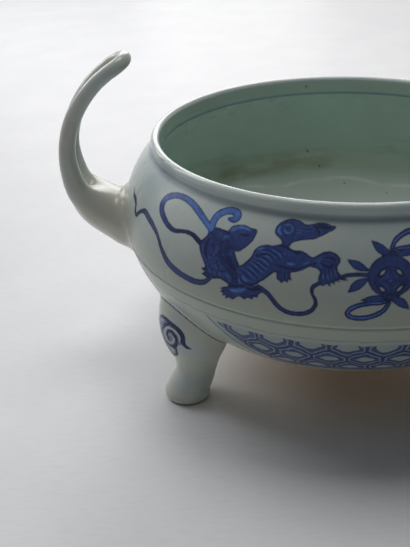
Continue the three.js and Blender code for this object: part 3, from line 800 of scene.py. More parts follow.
ROD = rod_path()
HANDLE_BOX = ((98, -26, 58), (152, 26, 172))
HANDLE_CELL = (0.8, 1.6)
STUB_PATH = spline([(*handle_place(out, up), tall * STUB_HALF, wide / tall)
                    for out, up, tall, wide in STUB], 4)


def handle_field(p):
    """Field of the loop handle on the +X side."""
    x, y, z = p[:, 0], np.abs(p[:, 1]), p[:, 2]
    rods = np.full(x.shape, 1e9)
    for a, b in zip(ROD[:-1], ROD[1:]):
        t, square = nearest((x, y, z), a[:3], b[:3])
        rods = np.minimum(rods, np.sqrt(square) - a[3] - t * (b[3] - a[3]))
    stub = np.full(x.shape, 1e9)
    for a, b in zip(STUB_PATH[:-1], STUB_PATH[1:]):
        t, square = nearest((x, z), a[:2], b[:2])
        wide = a[3] + t * (b[3] - a[3])
        stub = np.minimum(stub, np.sqrt(square + (y / wide) ** 2) - a[2] - t * (b[2] - a[2]))
    return run_into_bowl(smooth_min(rods, stub, CROTCH_FILLET), p, HANDLE_FILLET)


# Leg, from the same values as the CAD source: stations are (up, inset, width), the first as a share of
# the base's height and the others of the leg's width
LEG_WIDTH = 39.2
LEG_STATIONS = [
    (0, 0.417, 0.533), (0.039, 0.413, 0.592), (0.129, 0.406, 0.602), (0.29, 0.48, 0.582),
    (0.484, 0.559, 0.541), (0.71, 0.58, 0.615), (0.935, 0.575, 0.778), (1.194, 0.577, 0.918),
    (1.484, 0.605, 1), (1.806, 0.645, 0.99), (2.129, 0.705, 0.885), (2.387, 0.753, 0.74),
]
LEG_WIDEN = 0.08
LEG_TOP = LEG_STATIONS[-1][0] * BASE_HEIGHT
LEG_FILLET = 2.2
LEG_BOX = ((68, -25, -2), (126, 25, 78))
LEG_CELL = (0.65, 1.6)
# The slope that a leg's distances allow for: share of its lean in it, and the most that it may be
LEAN_SHARE = 0.6
SLOPE_MOST = 1.5
FOOT_ROUND = 1.6
LEG_CURVE = spline([(up * BASE_HEIGHT, BELLY_R - inset * LEG_WIDTH, wide * LEG_WIDTH / 2)
                    for up, inset, wide in LEG_STATIONS], 10)
LEG_SLOPES = np.gradient(LEG_CURVE[:, 1:], LEG_CURVE[:, 0] + 1e-9 * np.arange(len(LEG_CURVE)), axis=0)
LEG_TURNS = {"front_left_leg": -60, "front_right_leg": 60, "rear_leg": 180}


def leg_field(p):
    """Field of the leg that stands on the +X side."""
    z = np.clip(p[:, 2], 0, LEG_TOP)
    columns = (*LEG_CURVE[:, 1:].T, *LEG_SLOPES.T)
    centre, half, lean, slope = (np.interp(z, LEG_CURVE[:, 0], values) for values in columns)
    widen = 1 + LEG_WIDEN * z / LEG_TOP
    side = np.hypot(p[:, 0] - centre, p[:, 1] / widen)
    steep = np.clip(np.abs(slope) + np.abs(lean) * LEAN_SHARE, 0, SLOPE_MOST)
    d = (side - half) / np.sqrt(1 + steep ** 2)
    return run_into_bowl(-smooth_min(-d, p[:, 2], FOOT_ROUND), p, LEG_FILLET)


# Cloud scroll on the legs: (round the leg, up, width), with LEG_MM round it for each radian
LEG_MM = 18.5
SCROLL_DARK = [
    [(-6, 47.6, 0.8), (-3, 50, 1.3), (1, 50.6, 1.7), (5, 49.6, 2.1), (9, 48, 2.4), (11.6, 45.4, 2.5),
     (12.2, 42.2, 2.5), (12.6, 40.2, 2.1), (14.2, 38.2, 1.6), (16.4, 37.3, 0.6)],
    [(3.4, 40.4, 1.5), (2.6, 42.6, 1.5), (3.8, 44.8, 1.4), (6.2, 45.2, 1.4), (8.2, 43.4, 1.5),
     (8.9, 40.6, 1.6), (8.3, 38, 1.7), (6.6, 36.2, 1.8), (3.6, 35.9, 1.5), (0.4, 36.9, 1)],
    [(7.6, 36.6, 1.3), (7.6, 33.6, 1.2), (6.8, 31, 1.3), (4, 29, 1.1), (0, 27.8, 0.9), (-5, 26.2, 1.1),
     (-10, 23.4, 1.3), (-15, 20.6, 0.9)],
    [(3.6, 48.6, 1.5), (0.6, 46.6, 2), (-1.4, 44, 1.8), (-3.4, 41.4, 1.3), (-7, 38.6, 1.3),
     (-11, 36.4, 1.5), (-15, 34.6, 1.3)],
    [(-1, 38, 0.8), (-3, 35.2, 1.5), (-7, 32.4, 1.8), (-11, 30.2, 1.8), (-13.4, 28.4, 1.2)],
    [(-6, 46.4, 1.3), (-10, 43.6, 1.5), (-14, 41, 1.5), (-18.4, 37.6, 1.6), (-21, 33, 1.6),
     (-21.4, 28, 1.5), (-19, 23.4, 1.5), (-16, 20.4, 0.8)],
]
SCROLL_FILL = [
    (-5.6, 46.5), (-5.4, 48.6), (-2.6, 50.9), (1.4, 51.3), (5.6, 50.2), (9.8, 48.4), (12.4, 45.2),
    (13.2, 41), (11.4, 39.2), (9.6, 38.4), (8.6, 36.4), (7.8, 33), (7.2, 30.2), (4.2, 28.6), (0, 27.6),
    (-5, 26), (-10, 23), (-14, 20.2), (-18, 21.4), (-21, 26), (-21.4, 31), (-20, 35.4), (-16, 39.4),
    (-11, 43),
]
SCROLL_BARE = [
    [(10.6, 40.4, 0.4), (10.6, 43, 1.1), (9, 45.6, 1.3), (6, 47, 1.3), (3, 46.4, 1.3), (1, 44.2, 1.3),
     (0.5, 41.2, 1.3), (1.6, 38.8, 1.2), (4, 37.8, 1.2), (6.2, 38.8, 1.2), (7, 40.8, 1.2), (6.2, 42.6, 1),
     (4.8, 43.2, 0.7), (3.8, 42.6, 0.3)],
    [(3, 34.6, 0.5), (4.4, 33.6, 1.8), (4.6, 31.8, 0.8)],
    [(-3, 38.6, 0.4), (-6, 36.6, 0.9), (-9.6, 34, 0.9), (-12, 32.6, 0.3)],
    [(-1, 32.6, 0.3), (-5, 30, 0.9), (-9, 27.4, 0.9), (-12, 25, 0.3)],
    [(-3.6, 47.6, 0.5), (-2, 48.4, 1), (-0.4, 48.6, 0.5)],
    [(-12.8, 32.6, 0.4), (-15, 34, 1.1), (-18, 33.4, 1.2), (-19.8, 30.6, 1.2), (-19, 27.4, 1.1),
     (-16.4, 26.4, 1), (-14.4, 28, 0.8), (-14.4, 30, 0.4)],
]
SCROLL_THIN = -0.08
SCROLL_SPREAD = 1.12
FILL_TONE = 0.22
DARK_TONE = 0.66
# Line where the leg joins the bowl: middle from the bowl's skin, half width and tone
JOIN_LINE = (0.8, 0.22, 0.75)


def paint_leg(p):
    """Painted fields at points of the leg that stands on the +X side."""
    centre = np.interp(np.clip(p[:, 2], 0, LEG_TOP), LEG_CURVE[:, 0], LEG_CURVE[:, 1])
    canvas = Canvas(np.arctan2(p[:, 1], p[:, 0] - centre) * LEG_MM, p[:, 2])
    canvas.shape(closed_curve(np.array(SCROLL_FILL, float), 4), FILL_TONE)
    canvas.wash = np.maximum(canvas.wash, SCROLL_THIN)
    for points in SCROLL_DARK:
        canvas.deepen(spline(points, 6) * (1, 1, SCROLL_SPREAD), DARK_TONE)
    for points in SCROLL_BARE:
        canvas.leave_bare(spline(points, 6))
    middle, half, tone = JOIN_LINE
    bowl = bowl_distance(np.hypot(p[:, 0], p[:, 1]), p[:, 2])
    canvas.put_wash(np.arange(len(p)), np.abs(bowl - middle) - half, tone)
    return canvas


# Skins of fields: how many parts the grid is worked out in, how often the points are moved, the distance
# either way over which a slope is taken, the least square of a slope, and the most cells moved at once
GRID_PARTS = 24
FIT_ROUNDS = 4
NUDGE = 0.02
SLOPE_LEAST = 0.25
MOST_MOVED = 0.4


def crossings(values):
    """For each cell of a grid, the sum of the places where its edges cross zero, and their number."""
    cells = tuple(n - 1 for n in values.shape)
    total = np.zeros((*cells, 3))
    count = np.zeros(cells)
    for corner in np.ndindex(2, 2, 2):
        for way in np.eye(3, dtype=int):
            if way @ corner:
                continue
            va, vb = (values[tuple(slice(c, c + n) for c, n in zip(ends, cells))]
                      for ends in (corner, way + corner))
            cross = (va < 0) != (vb < 0)
            share = np.where(cross, va / np.where(cross, va - vb, 1), 0)
            total += (share[..., None] * way + corner) * cross[..., None]
            count += cross
    return total, count


def quads(solid, number):
    """Faces between the numbered cells round each grid edge that goes through the surface."""
    faces = []
    for axis in range(3):
        u, v = np.roll(np.eye(3, dtype=int), -axis - 1, 0)[:2]
        here = tuple(slice(1 if m != axis else 0, -1) for m in range(3))
        ahead = tuple(slice(1, -1 if m != axis else None) for m in range(3))
        for way in (True, False):
            where = np.stack(np.nonzero((solid[here] == way) & (solid[ahead] != way)), -1)
            quad = [number[tuple((where + shift).T)] for shift in (0 * u, u, u + v, v)]
            faces.append(np.stack(quad if way else quad[::-1], -1))
    return np.concatenate(faces)


def skinned(field, lo, hi, step):
    """Points and faces of the surface where a distance field is zero, with each point moved onto it.

    One point lies in each cell that the surface goes through, at the middle of the crossings there.
    """
    axes = [np.arange(a, b + step, step) for a, b in zip(lo, hi)]
    grid = np.stack(np.meshgrid(*axes, indexing="ij"), -1)
    parts = np.array_split(grid.reshape(-1, 3), GRID_PARTS)
    values = np.concatenate([field(part) for part in parts]).reshape(grid.shape[:3])
    total, count = crossings(values)
    live = count > 0
    number = np.full(count.shape, -1)
    number[live] = np.arange(live.sum())
    base = np.stack(np.nonzero(live), -1)
    points = np.array(lo) + (base + total[live] / count[live][:, None]) * step
    for _ in range(FIT_ROUNDS):
        ends = [(field(points + NUDGE * e), field(points - NUDGE * e)) for e in np.eye(3)]
        slope = np.stack([(ahead - behind) / (2 * NUDGE) for ahead, behind in ends], -1)
        size = np.maximum((slope ** 2).sum(1), SLOPE_LEAST)
        push = -slope * (field(points) / size)[:, None]
        reach = np.linalg.norm(push, axis=1, keepdims=True)
        points = points + push * np.minimum(1, MOST_MOVED * step / np.maximum(reach, 1e-9))
    return points, quads(values < 0, number).tolist()


def arithmetic(operation, swapped=False):
    def apply(self, other):
        return self.graph.math(operation, *((other, self) if swapped else (self, other)))
    return apply


class Value:
    """Output of a node. Arithmetic with it adds Math nodes to its graph."""

    def __init__(self, graph, socket):
        self.graph, self.socket = graph, socket

    __add__, __sub__ = arithmetic("ADD"), arithmetic("SUBTRACT")
    __mul__, __truediv__ = arithmetic("MULTIPLY"), arithmetic("DIVIDE")
    __rsub__ = arithmetic("SUBTRACT", swapped=True)

    def __abs__(self):
        return self.graph.math("ABSOLUTE", self)


class Graph:
    """Nodes of a material or a world."""

    def __init__(self, tree):
        self.tree = tree
        tree.nodes.clear()

    def put(self, socket, value):
        if isinstance(value, Value):
            self.tree.links.new(value.socket, socket)
        elif value is not None:
            socket.default_value = value

    def node(self, kind, inputs=None, output=0, **settings):
        """Output of a new node, from its inputs by name or number and its settings."""
        node = self.tree.nodes.new("ShaderNode" + kind)
        for name, value in settings.items():
            setattr(node, name, value)
        for key, value in (inputs or {}).items():
            self.put(node.inputs[key], value)
        return Value(self, node.outputs[output] if node.outputs else None)

    def math(self, operation, *values, clamp=False):
        return self.node("Math", dict(enumerate(values)), operation=operation, use_clamp=clamp)

    def most(self, a, b):
        return self.math("MAXIMUM", a, b)

    def least(self, a, b):
        return self.math("MINIMUM", a, b)


class Glaze(Graph):
    """Material with one Principled shader, whose textures lie in the object's own millimetres."""

    def __init__(self, name):
        self.material = bpy.data.materials.new(name)
        self.material.use_nodes = True
        super().__init__(self.material.node_tree)
        shader = self.node("BsdfPrincipled")
        self.shader = shader.socket.node
        self.node("OutputMaterial", {0: shader})
        self.place = self.scale(self.node("TexCoord", output="Object"), (1 / MM, 1 / MM, 1 / MM))
        split = self.node("SeparateXYZ", {0: self.place}).socket.node
        self.x, self.y, self.z = (Value(self, socket) for socket in split.outputs)

    def radius(self):
        """Distance from the bowl's axis."""
        return self.math("SQRT", self.x * self.x + self.y * self.y)

    def finish(self, **inputs):
        """The material, with its shader's inputs set by name."""
        for name, value in inputs.items():
            self.put(self.shader.inputs[name.replace("_", " ")], value)
        return self.material

    def scale(self, vector, factors):
        return self.node("VectorMath", {0: vector, 1: factors}, operation="MULTIPLY")

    def field(self, name):
        return self.node("Attribute", output="Fac", attribute_name=name)

    def noise(self, size, detail, stretch=None):
        """Noise with blobs of about size millimetres, finer along an axis that stretch makes longer."""
        place = self.place if stretch is None else self.scale(self.place, stretch)
        return self.node("TexNoise", {"Scale": 1 / size, "Detail": detail, "Vector": place}, output="Fac")

    def waver(self, amount, size, detail, stretch=None):
        """Noise about zero, of half the amount either way."""
        return (self.noise(size, detail, stretch) - 0.5) * amount

    def band(self, value, lo, hi, to_lo=0, to_hi=1):
        """Smooth step from to_lo to to_hi as value goes from lo to hi."""
        (low, at_low), (high, at_high) = sorted([(lo, to_lo), (hi, to_hi)])
        limits = {"From Min": low, "From Max": high, "To Min": at_low, "To Max": at_high}
        return self.node("MapRange", {"Value": value, **limits}, "Result", interpolation_type="SMOOTHSTEP")

    def between(self, value, up, down):
        """Band that rises over the first pair of values and falls over the second."""
        return self.band(value, *up) * self.band(value, *down)

    def mix(self, share, a, b):
        a, b = (v if isinstance(v, Value) else colour(v) for v in (a, b))
        return self.node("Mix", {0: share, 6: a, 7: b}, 2, data_type="RGBA")


def colour(rgb):
    """Linear RGBA from sRGB values of 0 to 255."""
    linear = [((c / 255 + 0.055) / 1.055) ** 2.4 if c > 10.3 else c / 255 / 12.92 for c in rgb]
    return (*linear, 1.0)


GLAZE = (202, 211, 206)
GLAZE_COOL = (190, 204, 206)
GLAZE_WARM = (208, 211, 198)
# Glaze colour towards the foot, greyer as painted shade
GLAZE_LOW_SHADE = (178, 186, 174)
GLAZE_INSIDE = (184, 206, 197)
GLAZE_INSIDE_DULL = (180, 200, 190)
GLAZE_INSIDE_PALER_LOW = (212, 220, 214)
GLAZE_BROWNED = (172, 176, 150)
GLAZE_HANDLE_WARM_SHADE = (196, 195, 182)
GLAZE_LEG = (202, 206, 194)
TIDE_AND_HIGHLIGHT_TINT = (238, 241, 234)
SMEAR_TINT = (132, 138, 112)
DREGS_TINT = (118, 114, 60)
SPECK_TINT = (76, 70, 56)
SEAM_LINE_AND_GROOVE_SHADE_TINT = (112, 130, 148)
LIP_TINT = (192, 206, 204)
CREST_HIGHLIGHT_TINT = (226, 232, 228)
RING_TINT = (70, 100, 148)
DIAPER_GREY = (84, 92, 106)
DIAPER_WASH = (120, 138, 172)
DIAPER_LINE = (92, 116, 158)
BISCUIT = (198, 168, 126)
BISCUIT_SCORCHED = (130, 102, 72)
COBALT_LIGHT = (96, 140, 214)
COBALT_MID = (57, 78, 140)
COBALT_DARK = (30, 36, 80)
TABLE = (238, 238, 241)
TABLE_LIGHT = (242, 242, 244)
TABLE_GRAIN = (233, 232, 233)
ROOM = (200, 208, 214)
BACKDROP = (230, 231, 231)


def glaze_colour(g):
    tint = g.mix(g.band(g.noise(34, 3), 0.35, 0.65), GLAZE_COOL, GLAZE)
    return g.mix(g.band(g.noise(21, 3, (1, 1, 1.7)), 0.5, 0.8, 0, 0.6), tint, GLAZE_WARM)


# Heights between which the glaze is painted greyer downwards, as painted shade on the lower belly and base
LOW_SHADE_HEIGHTS = (110, 76)


def painted_low_shade(g, base):
    """Glaze painted greyer towards the foot, as painted shade."""
    return g.mix(g.band(g.z, *LOW_SHADE_HEIGHTS), base, GLAZE_LOW_SHADE)


def cobalt(g, base, cover, depth):
    """Base colour under cobalt of a depth from 0, a thin wash, to 1, where it lies thickest."""
    blue = g.mix(g.band(depth, 0, 0.5), COBALT_LIGHT, COBALT_MID)
    blue = g.mix(g.band(depth, 0.4, 1), blue, COBALT_DARK)
    return g.mix(cover, base, blue)


def painted(g, base):
    """Cobalt brushwork over a colour, from the painted fields of the mesh."""
    wobble = g.waver(0.5, 1.6, 2)
    cover = g.band(g.field("wash") + wobble, 0.42, -0.36)
    pool = g.band(g.field("wash"), -0.95, -0.3)
    streaks = g.waver(0.5, 2.2, 3)
    cloud = g.waver(0.4, 9, 2)
    depth = g.field("tone") + streaks + (cloud + pool * 0.3)
    pale = g.band(g.field("pale") + wobble * 0.5, 0.3, -0.25)
    depth = g.math("SUBTRACT", depth, pale * 0.34, clamp=True)
    line = g.band(g.field("line") + wobble * 0.5, 0.5, -0.45)
    return cobalt(g, base, cover, g.most(depth, line * 0.88))


def finish_glaze(g, base, matt, shine=None, bare=None, sleek=None):
    """Glaze of a base colour and a range of roughness. Shine is its specular level, bare the share left
    unglazed and sleek how far each place is smoother."""
    rough = g.band(g.noise(24, 2), 0.3, 0.7, *matt)
    if sleek is not None:
        rough = rough * (1 - sleek * 0.6)
    if bare is not None:
        biscuit = g.mix(g.band(g.noise(9, 5), 0.35, 0.75, 0, 0.5), BISCUIT, BISCUIT_SCORCHED)
        base = g.mix(bare, base, biscuit)
        rough = g.most(rough, bare * 0.85)
    rings = g.noise(5, 2, (0.12, 0.12, 1))
    height = rings * 0.7 + g.noise(2.6, 2) * 0.3
    normal = g.node("Bump", {"Strength": 0.35, "Distance": 0.2 * MM, "Height": height})
    return g.finish(Base_Color=base, Roughness=rough, IOR=1.48, Specular_IOR_Level=shine, Normal=normal)


# Marks of use inside the bowl: degrees round from the front, radius, height, size
STAINS = [(-148, 108.6, 68, 9), (-158, 109, 68.6, 14), (-168, 109, 68.6, 16), (-179, 109.6, 70, 11)]
SPECKS = [(-177, 111.1, 74.9, 0.9), (179, 107.6, 65.4, 0.6), (170, 101.8, 55.6, 0.5),
          (154, 99.1, 52.1, 0.4), (-174.5, 97.9, 121.8, 0.7)]
TIDE_LEVEL = 59.5
# Heights over which they come in from below, and go out again above
BROWNED = ((58, 66), (84, 68))
SMEARED = ((68, 74), (90, 82))
DREGS_LOW = (60, 66)
DREGS_HIGH = (79, 69)


def spots(g, places, soft, wander):
    """Share of cover by round spots, each given as degrees round, radius, height and size."""
    cover = None
    for turn, r, z, size in places:
        a = math.radians(turn)
        middle = (r * math.sin(a), -r * math.cos(a), z)
        reach = g.node("VectorMath", {0: g.place, 1: middle}, "Value", operation="DISTANCE") + wander
        spot = g.band(reach, size + soft, size - soft)
        cover = spot if cover is None else g.most(cover, spot)
    return cover


def used_inside(g, base):
    """Inner glaze with the stains and specks of its use, paler below a level, and a pale line there that is
    partly ash and partly a painted highlight, where the mesh says inside.
    """
    wander = g.waver(12, 6, 4, (0.25, 0.25, 2))
    inner = g.mix(g.band(g.noise(40, 1), 0.25, 0.75), GLAZE_INSIDE, GLAZE_INSIDE_DULL)
    inner = g.mix(g.between(g.z, *BROWNED) * 0.5, inner, GLAZE_BROWNED)
    level = g.z + g.waver(16, 60, 3)
    # Paler glaze inside below the level
    inner = g.mix(g.band(level, TIDE_LEVEL + 9, TIDE_LEVEL - 2), inner, GLAZE_INSIDE_PALER_LOW)
    # Pale broken line at the level: partly an ash line, partly a painted highlight
    tide_and_highlight = g.band(abs(level - TIDE_LEVEL), 1.4, 0.2) * g.band(g.noise(12, 3), 0.36, 0.6, 0.35, 1)
    inner = g.mix(tide_and_highlight * 0.85, inner, TIDE_AND_HIGHLIGHT_TINT)
    smear = g.between(g.z, *SMEARED) * g.band(g.noise(14, 4, (0.5, 0.5, 2.2)), 0.52, 0.68)
    inner = g.mix(smear * 0.2, inner, SMEAR_TINT)
    streaks = g.band(g.noise(7, 4, (0.3, 0.3, 1.2)), 0.3, 0.62)
    dregs = spots(g, STAINS, 7, wander) * g.band(g.z, *DREGS_LOW) * g.band(g.z, *DREGS_HIGH) * streaks
    inner = g.mix(dregs * 0.45, inner, DREGS_TINT)
    inner = g.mix(spots(g, SPECKS, 0.7, wander * 0.06) * 0.7, inner, SPECK_TINT)
    return g.mix(g.field("inside"), base, inner)


# Radii between which the neck's outside begins, and heights between which marks there come in or go out:
# the groove and the blue ring inside the neck from below, then above, the lip's pale glaze and its gloss
NECK_R = (98.6, 99.6)
GROOVE_LOW = (118.2, 119.8)
GROOVE_HIGH = (122.4, 121.2)
RING_LOW = (115.9, 116.9)
RING_HIGH = (118.5, 117.5)
LIP_PALE = (120.5, 122.5)
LIP_FOOT = (119.5, 123.5)


def wall_material():
    g = Glaze("painted_wall_glaze")
    base = used_inside(g, painted_low_shade(g, glaze_colour(g)))
    outer = g.band(g.radius(), *NECK_R)
    # Blue-grey line in the groove under the lip, partly painted shade in the recess
    groove_line_and_shade = outer * g.band(g.z, *GROOVE_LOW) * g.band(g.z, *GROOVE_HIGH)
    base = g.mix(groove_line_and_shade * 0.5, base, SEAM_LINE_AND_GROOVE_SHADE_TINT)
    line = g.z + g.waver(1.2, 25, 2)
    foot_line = (1 - g.field("inside")) * g.band(line, LUTE_Z + 2.4, LUTE_Z + 0.6)
    base = g.mix(foot_line * 0.3, base, SEAM_LINE_AND_GROOVE_SHADE_TINT)
    base = g.mix(outer * g.band(g.z, *LIP_PALE) * 0.45, base, LIP_TINT)
    # Paler band on the rim's crest: partly thinner glaze, partly a painted highlight
    base = g.mix(g.band(g.z, RIM_HEIGHT - 1.2, RIM_HEIGHT - 0.2) * 0.3, base, CREST_HIGHLIGHT_TINT)
    ring = (1 - outer) * g.band(g.z, *RING_LOW) * g.band(g.z, *RING_HIGH)
    base = g.mix(ring * 0.5, base, RING_TINT)
    shine = g.band(g.z, *LIP_FOOT, 0.18, 0.42)
    return finish_glaze(g, painted(g, base), (0.25, 0.29), shine, sleek=g.band(g.z, *LIP_FOOT))


# Diaper band under the belly, in millimetres round the bowl and down from the belly's end. Its cells
# are pointed at both ends: SLANT is the direction square to their slanting sides, then its distance.
UNDER_MM = 113.0
CELL_WIDE = 16.5
CELL_DROP = 9.8
CELL_START = 10.6
CELL_LOW = 37.5
CELL_DRIFT = 2.4
DRIFT_DROP = (23, 28)
SLANT = (0.503, 0.864, 6.31)
LENS_HALF = (4.6, 2.4)
TOP_LINE = 5.4
PATTERN_TOP = (7.7, 8.4)
WASH_TOP = (5.6, 9.5)
OUTLINE_TOP = (6.4, 7.2)
# Sides of the pattern and of the wash round it: degrees from the panel's middle at a distance down, and
# degrees lost for each millimetre further down
PATTERN_SIDE = (40.2, 8, 0.45)
WASH_SIDE = (42.5, 7, 0.38)


def nearest_cell(g, along, drop):
    """Distance outside the nearest cell, and how far a place lies from its middle across and down."""
    def cell(shift, start):
        x = abs(g.math("WRAP", along - shift, CELL_WIDE / 2, -CELL_WIDE / 2))
        y = abs(g.math("WRAP", drop - start, CELL_DROP, -CELL_DROP))
        return g.most(x - CELL_WIDE / 2, x * SLANT[0] + y * SLANT[1] - SLANT[2]), x, y

    (edge_a, ax, ay), (edge_b, bx, by) = cell(0, CELL_START), cell(CELL_WIDE / 2, CELL_START + CELL_DROP)
    first = g.math("LESS_THAN", edge_a, edge_b)
    second = 1 - first
    x = first * ax + second * bx
    y = (first * ay + second * by) * g.math("GREATER_THAN", drop, CELL_START)
    return g.least(edge_a, edge_b), x, y


def cell_painting(g, along, drop, streaks):
    """Depth of the cobalt in the cells, and the share left bare: a lens in each and a thin light line."""
    edge, x, y = nearest_cell(g, along, drop)
    lens = y - (1 - g.math("POWER", x / LENS_HALF[0], 2)) * LENS_HALF[1]
    light = g.between(edge, (-1.8, -1.5), (-0.8, -1.1))
    depth = g.most(streaks + 0.62, g.band(abs(lens), 0.75, 0.3) * 0.95)
    depth = g.most(depth, g.band(edge, -0.9, -0.5) * 0.95)
    depth = g.math("SUBTRACT", depth, light * 0.55, clamp=True)
    return depth, g.most(g.band(lens, 0.25, -0.25) * 0.95, light * 0.5)


def diaper(g, base):
    """Brocade panel between each two legs: a wash with an outline, and the cells in it."""
    panel = g.math("WRAP", g.math("ARCTAN2", g.x, g.y * -1), math.pi / 3, -math.pi / 3)
    theta = g.math("ARCTAN2", g.z - UNDER_CZ, g.radius() - UNDER_CR)
    down = (BELLY_END - theta) * UNDER_ARC
    drop = down + g.waver(3, 6, 2, (1, 1, -1))
    along = panel * UNDER_MM + g.waver(3.6, 5, 2) + g.band(drop, *DRIFT_DROP, 0, -CELL_DRIFT)
    streaks = g.waver(0.5, 3, 3)
    depth, bare = cell_painting(g, along, drop, streaks)

    def side(at, above, loss):
        return abs(panel * (180 / math.pi)) - (at - (down - above) * loss)

    pattern = g.band(side(*PATTERN_SIDE), 0.35, -0.15) * g.band(drop, *PATTERN_TOP)
    pattern = pattern * g.band(drop, CELL_LOW + 0.2, CELL_LOW - 0.4)
    rim = side(*WASH_SIDE)
    within = g.band(rim, 0.3, -0.3)
    wash = within * g.band(drop, *WASH_TOP) * g.band(drop, CELL_LOW + 2.6, CELL_LOW + 2)
    base = g.mix(wash * 0.3, base, DIAPER_WASH)
    base = g.mix(g.band(abs(drop - TOP_LINE), 0.8, 0.2) * 0.4, base, DIAPER_LINE)
    low_line = g.band(abs(drop - (CELL_LOW + 2.3)), 0.55, 0.25) * within
    outline = g.most(g.band(abs(rim), 0.45, 0.2) * g.band(drop, *OUTLINE_TOP), low_line)
    outline = outline * g.band(g.z, BASE_HEIGHT + 0.4, BASE_HEIGHT + 0.8)
    base = cobalt(g, base, outline * 0.85, streaks + 0.6)
    cover = pattern * (1 - bare) * 0.9
    return g.mix(cover * 0.25, cobalt(g, base, cover, depth), DIAPER_GREY)


def base_material():
    g = Glaze("diapered_base_glaze")
    seam = g.band(g.z, LUTE_Z - 1.8, LUTE_Z - 0.4)
    outer = diaper(g, g.mix(seam * 0.3, painted_low_shade(g, glaze_colour(g)), SEAM_LINE_AND_GROOVE_SHADE_TINT))
    under = g.band(g.z, BASE_HEIGHT + 0.6, BASE_HEIGHT + 0.2) * (1 - g.field("inside"))
    return finish_glaze(g, used_inside(g, outer), (0.15, 0.24), 0.35, bare=under)


def handle_material():
    g = Glaze("handle_glaze_plain")
    # Handles in a warmer glaze, darker than the bowl's: partly a warm tone, partly painted shade
    warm_and_shaded = g.mix(g.band(g.noise(26, 3), 0.25, 0.6), glaze_colour(g), GLAZE_HANDLE_WARM_SHADE)
    return finish_glaze(g, warm_and_shaded, (0.16, 0.21))


def leg_material():
    g = Glaze("scrolled_leg_glaze")
    worn = g.z + g.waver(1.6, 5, 3)
    base = g.mix(g.band(g.noise(18, 2), 0.2, 0.6), glaze_colour(g), GLAZE_LEG)
    return finish_glaze(g, painted(g, base), (0.1, 0.17), 0.25, bare=g.band(worn, 1.5, 0.9))


def table_material():
    g = Glaze("table_top")
    base = g.mix(g.band(g.noise(60, 4), 0.3, 0.7), TABLE, TABLE_LIGHT)
    grain = g.noise(3, 3, (0.35, 1.6, 1))
    base = g.mix(g.band(grain, 0.45, 0.75, 0, 0.5), base, TABLE_GRAIN)
    return g.finish(Base_Color=base, Roughness=0.36, Specular_IOR_Level=0.1)


def settle(piece, material, node):
    piece.data.materials.append(material)
    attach(piece, BODY)
    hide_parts(node)


# Rows before and after the throat over which the inner glaze begins
THROAT_FADE = (-3, 1)


def build_upper():
    rows, painted_rows = upper_wall()
    points, faces = turned(rows)
    piece = make_object("painted_wall", points, faces)
    p = np.array(points)
    fine = painted_rows * FINE
    x, y, z = p[:fine].T
    along = np.arctan2(x, -y) * BELLY_MM
    up = np.arctan2(z - BELLY_CZ, np.hypot(x, y) - BELLY_CR) * BELLY_ARC
    plain = Canvas(p[:, 0], p[:, 1])
    fields = {name: getattr(plain, name) for name in FIELDS}
    for shift in (0, HALF_TURN, -HALF_TURN):
        canvas = paint_belly(along - shift, up)
        better = canvas.wash < fields["wash"][:fine]
        fields["tone"][:fine] = np.where(better, canvas.tone, fields["tone"][:fine])
        for name in ("wash", "line", "pale"):
            fields[name][:fine] = np.minimum(fields[name][:fine], getattr(canvas, name))
    order = np.repeat(np.arange(len(rows)), [columns for _, _, columns in rows])
    throat = next(k for k, (r, _, _) in enumerate(rows) if abs(r - THROAT_R) < 0.02)
    fields["inside"] = smoothstep(order, *(throat + row for row in THROAT_FADE))
    save_fields(piece.data, fields)
    settle(piece, wall_material(), "upper_wall")


def build_lower():
    points, faces = turned(lower_bowl())
    piece = make_object("diapered_base", points, faces)
    x, y, z = np.array(points).T
    inside = bowl_distance(np.hypot(x, y), z) < -1
    save_fields(piece.data, {"inside": inside.astype(float)})
    settle(piece, base_material(), "lower_bowl")


def cell_size(full, quick):
    return full


def build_handles():
    points, faces = skinned(handle_field, *HANDLE_BOX, cell_size(*HANDLE_CELL))
    material = handle_material()
    for name, node, side in (("right_loop", "right_handle", 1), ("left_loop", "left_handle", -1)):
        piece = make_object(name, points * (side, 1, 1), faces if side > 0 else [f[::-1] for f in faces])
        settle(piece, material, node)


def build_legs():
    points, faces = skinned(leg_field, *LEG_BOX, cell_size(*LEG_CELL))
    points[:, 2] = np.maximum(points[:, 2], 0)
    painting = paint_leg(points)
    material = leg_material()
    out, side, up = points.T
    for node, turn in LEG_TURNS.items():
        c, s = math.cos(math.radians(turn)), math.sin(math.radians(turn))
        p = np.stack([out * s + side * c, -out * c + side * s, up], 1)
        piece = make_object(node.replace("_leg", "_cabriole"), p, faces)
        save_fields(piece.data, {name: getattr(painting, name) for name in FIELDS})
        settle(piece, material, node)


def placed(right, away, up):
    """Point in metres from millimetres to the right, away from the camera and up from the table."""
    c, s = math.cos(VIEW_TURN), math.sin(VIEW_TURN)
    return Vector((right * c + away * s, -right * s + away * c, up)) * MM


def link(name, data):
    thing = bpy.data.objects.new(name, data)
    bpy.context.scene.collection.objects.link(thing)
    return thing


def camera():
    eye, (right, up, ahead) = photo_view()
    data = bpy.data.cameras.new("photo_camera")
    data.sensor_fit = "VERTICAL"
    data.sensor_height = SENSOR
    data.lens = FOCAL * SENSOR / FRAME[1]
    data.clip_end = 50
    view = link("photo_camera", data)
    columns = [(*placed(*way) / MM, 0) for way in (right, up, -ahead)]
    columns.append((*placed(*eye + (0, 0, RIM_HEIGHT)), 1))
    view.matrix_world = Matrix(columns).transposed()
    bpy.context.scene.camera = view


SUN_TINT = (1.0, 0.99, 0.975)
SKY_TINT = (0.97, 0.985, 1.0)
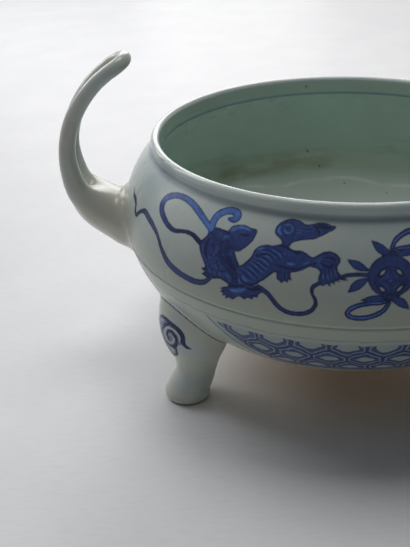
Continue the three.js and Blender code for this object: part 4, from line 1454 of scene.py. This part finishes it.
# Soft lamps round the table: degrees to the left of straight behind, degrees up, distance, width, height,
# watts and tint
LAMPS = [
    ("window_behind", 10, 30, 2600, 1500, 1500, 22.8, SUN_TINT),
    ("window_left", 60, 34, 1500, 850, 850, 7.5, SKY_TINT),
    ("window_side", 100, 52, 1500, 1700, 1700, 2.0, SKY_TINT),
    ("ceiling", 0, 80, 1500, 700, 700, 6.4, SUN_TINT),
    ("window_far", 9, 8.5, 3050, 700, 400, 1.45, SUN_TINT),
]
LAMP_TARGET = (0, 0, 60)

# Round table top: radius and middle, in millimetres, to the right of and behind the bowl
TABLE_REACH = 1100
TABLE_MIDDLE = (-200, 200)
TABLE_SIDES = 96
ROOM_STRENGTH = 0.05


def lamp(name, turn, lift, reach, width, height, power, tint):
    data = bpy.data.lights.new(name, "AREA")
    data.shape = "RECTANGLE"
    data.size, data.size_y = width * MM, height * MM
    data.energy = power
    data.color = tint
    thing = link(name, data)
    a, e = math.radians(turn), math.radians(lift)
    way = (-math.sin(a) * math.cos(e), math.cos(a) * math.cos(e), math.sin(e))
    thing.location = placed(*(reach * v for v in way))
    aim = placed(*LAMP_TARGET) - thing.location
    thing.rotation_euler = aim.to_track_quat("-Z", "Y").to_euler()


def table():
    middle = placed(*TABLE_MIDDLE, 0) / MM
    turns = [2 * math.pi * k / TABLE_SIDES for k in range(TABLE_SIDES)]
    points = [(middle.x + TABLE_REACH * math.cos(a), middle.y + TABLE_REACH * math.sin(a), 0) for a in turns]
    floor = make_object("table_top", points, [tuple(range(TABLE_SIDES))])
    floor.data.materials.append(table_material())


def soft_room():
    """World that lights as a dim room, and shows as a pale backdrop to the camera and in reflections."""
    world = bpy.data.worlds.new("soft_room")
    bpy.context.scene.world = world
    world.use_nodes = True
    g = Graph(world.node_tree)
    room = g.node("Background", {"Color": colour(ROOM), "Strength": ROOM_STRENGTH})
    seen = g.node("Background", {"Color": colour(BACKDROP)})
    shown = g.node("LightPath", output="Is Camera Ray")
    for ray in ("Is Glossy Ray", "Is Transmission Ray"):
        shown = g.most(shown, g.node("LightPath", output=ray))
    g.node("OutputWorld", {0: g.node("MixShader", {0: shown, 1: room, 2: seen})})
    bpy.context.scene.view_settings.view_transform = "Standard"


camera()
table()
for values in LAMPS:
    lamp(*values)
soft_room()
build_upper()
build_lower()
build_handles()
build_legs()
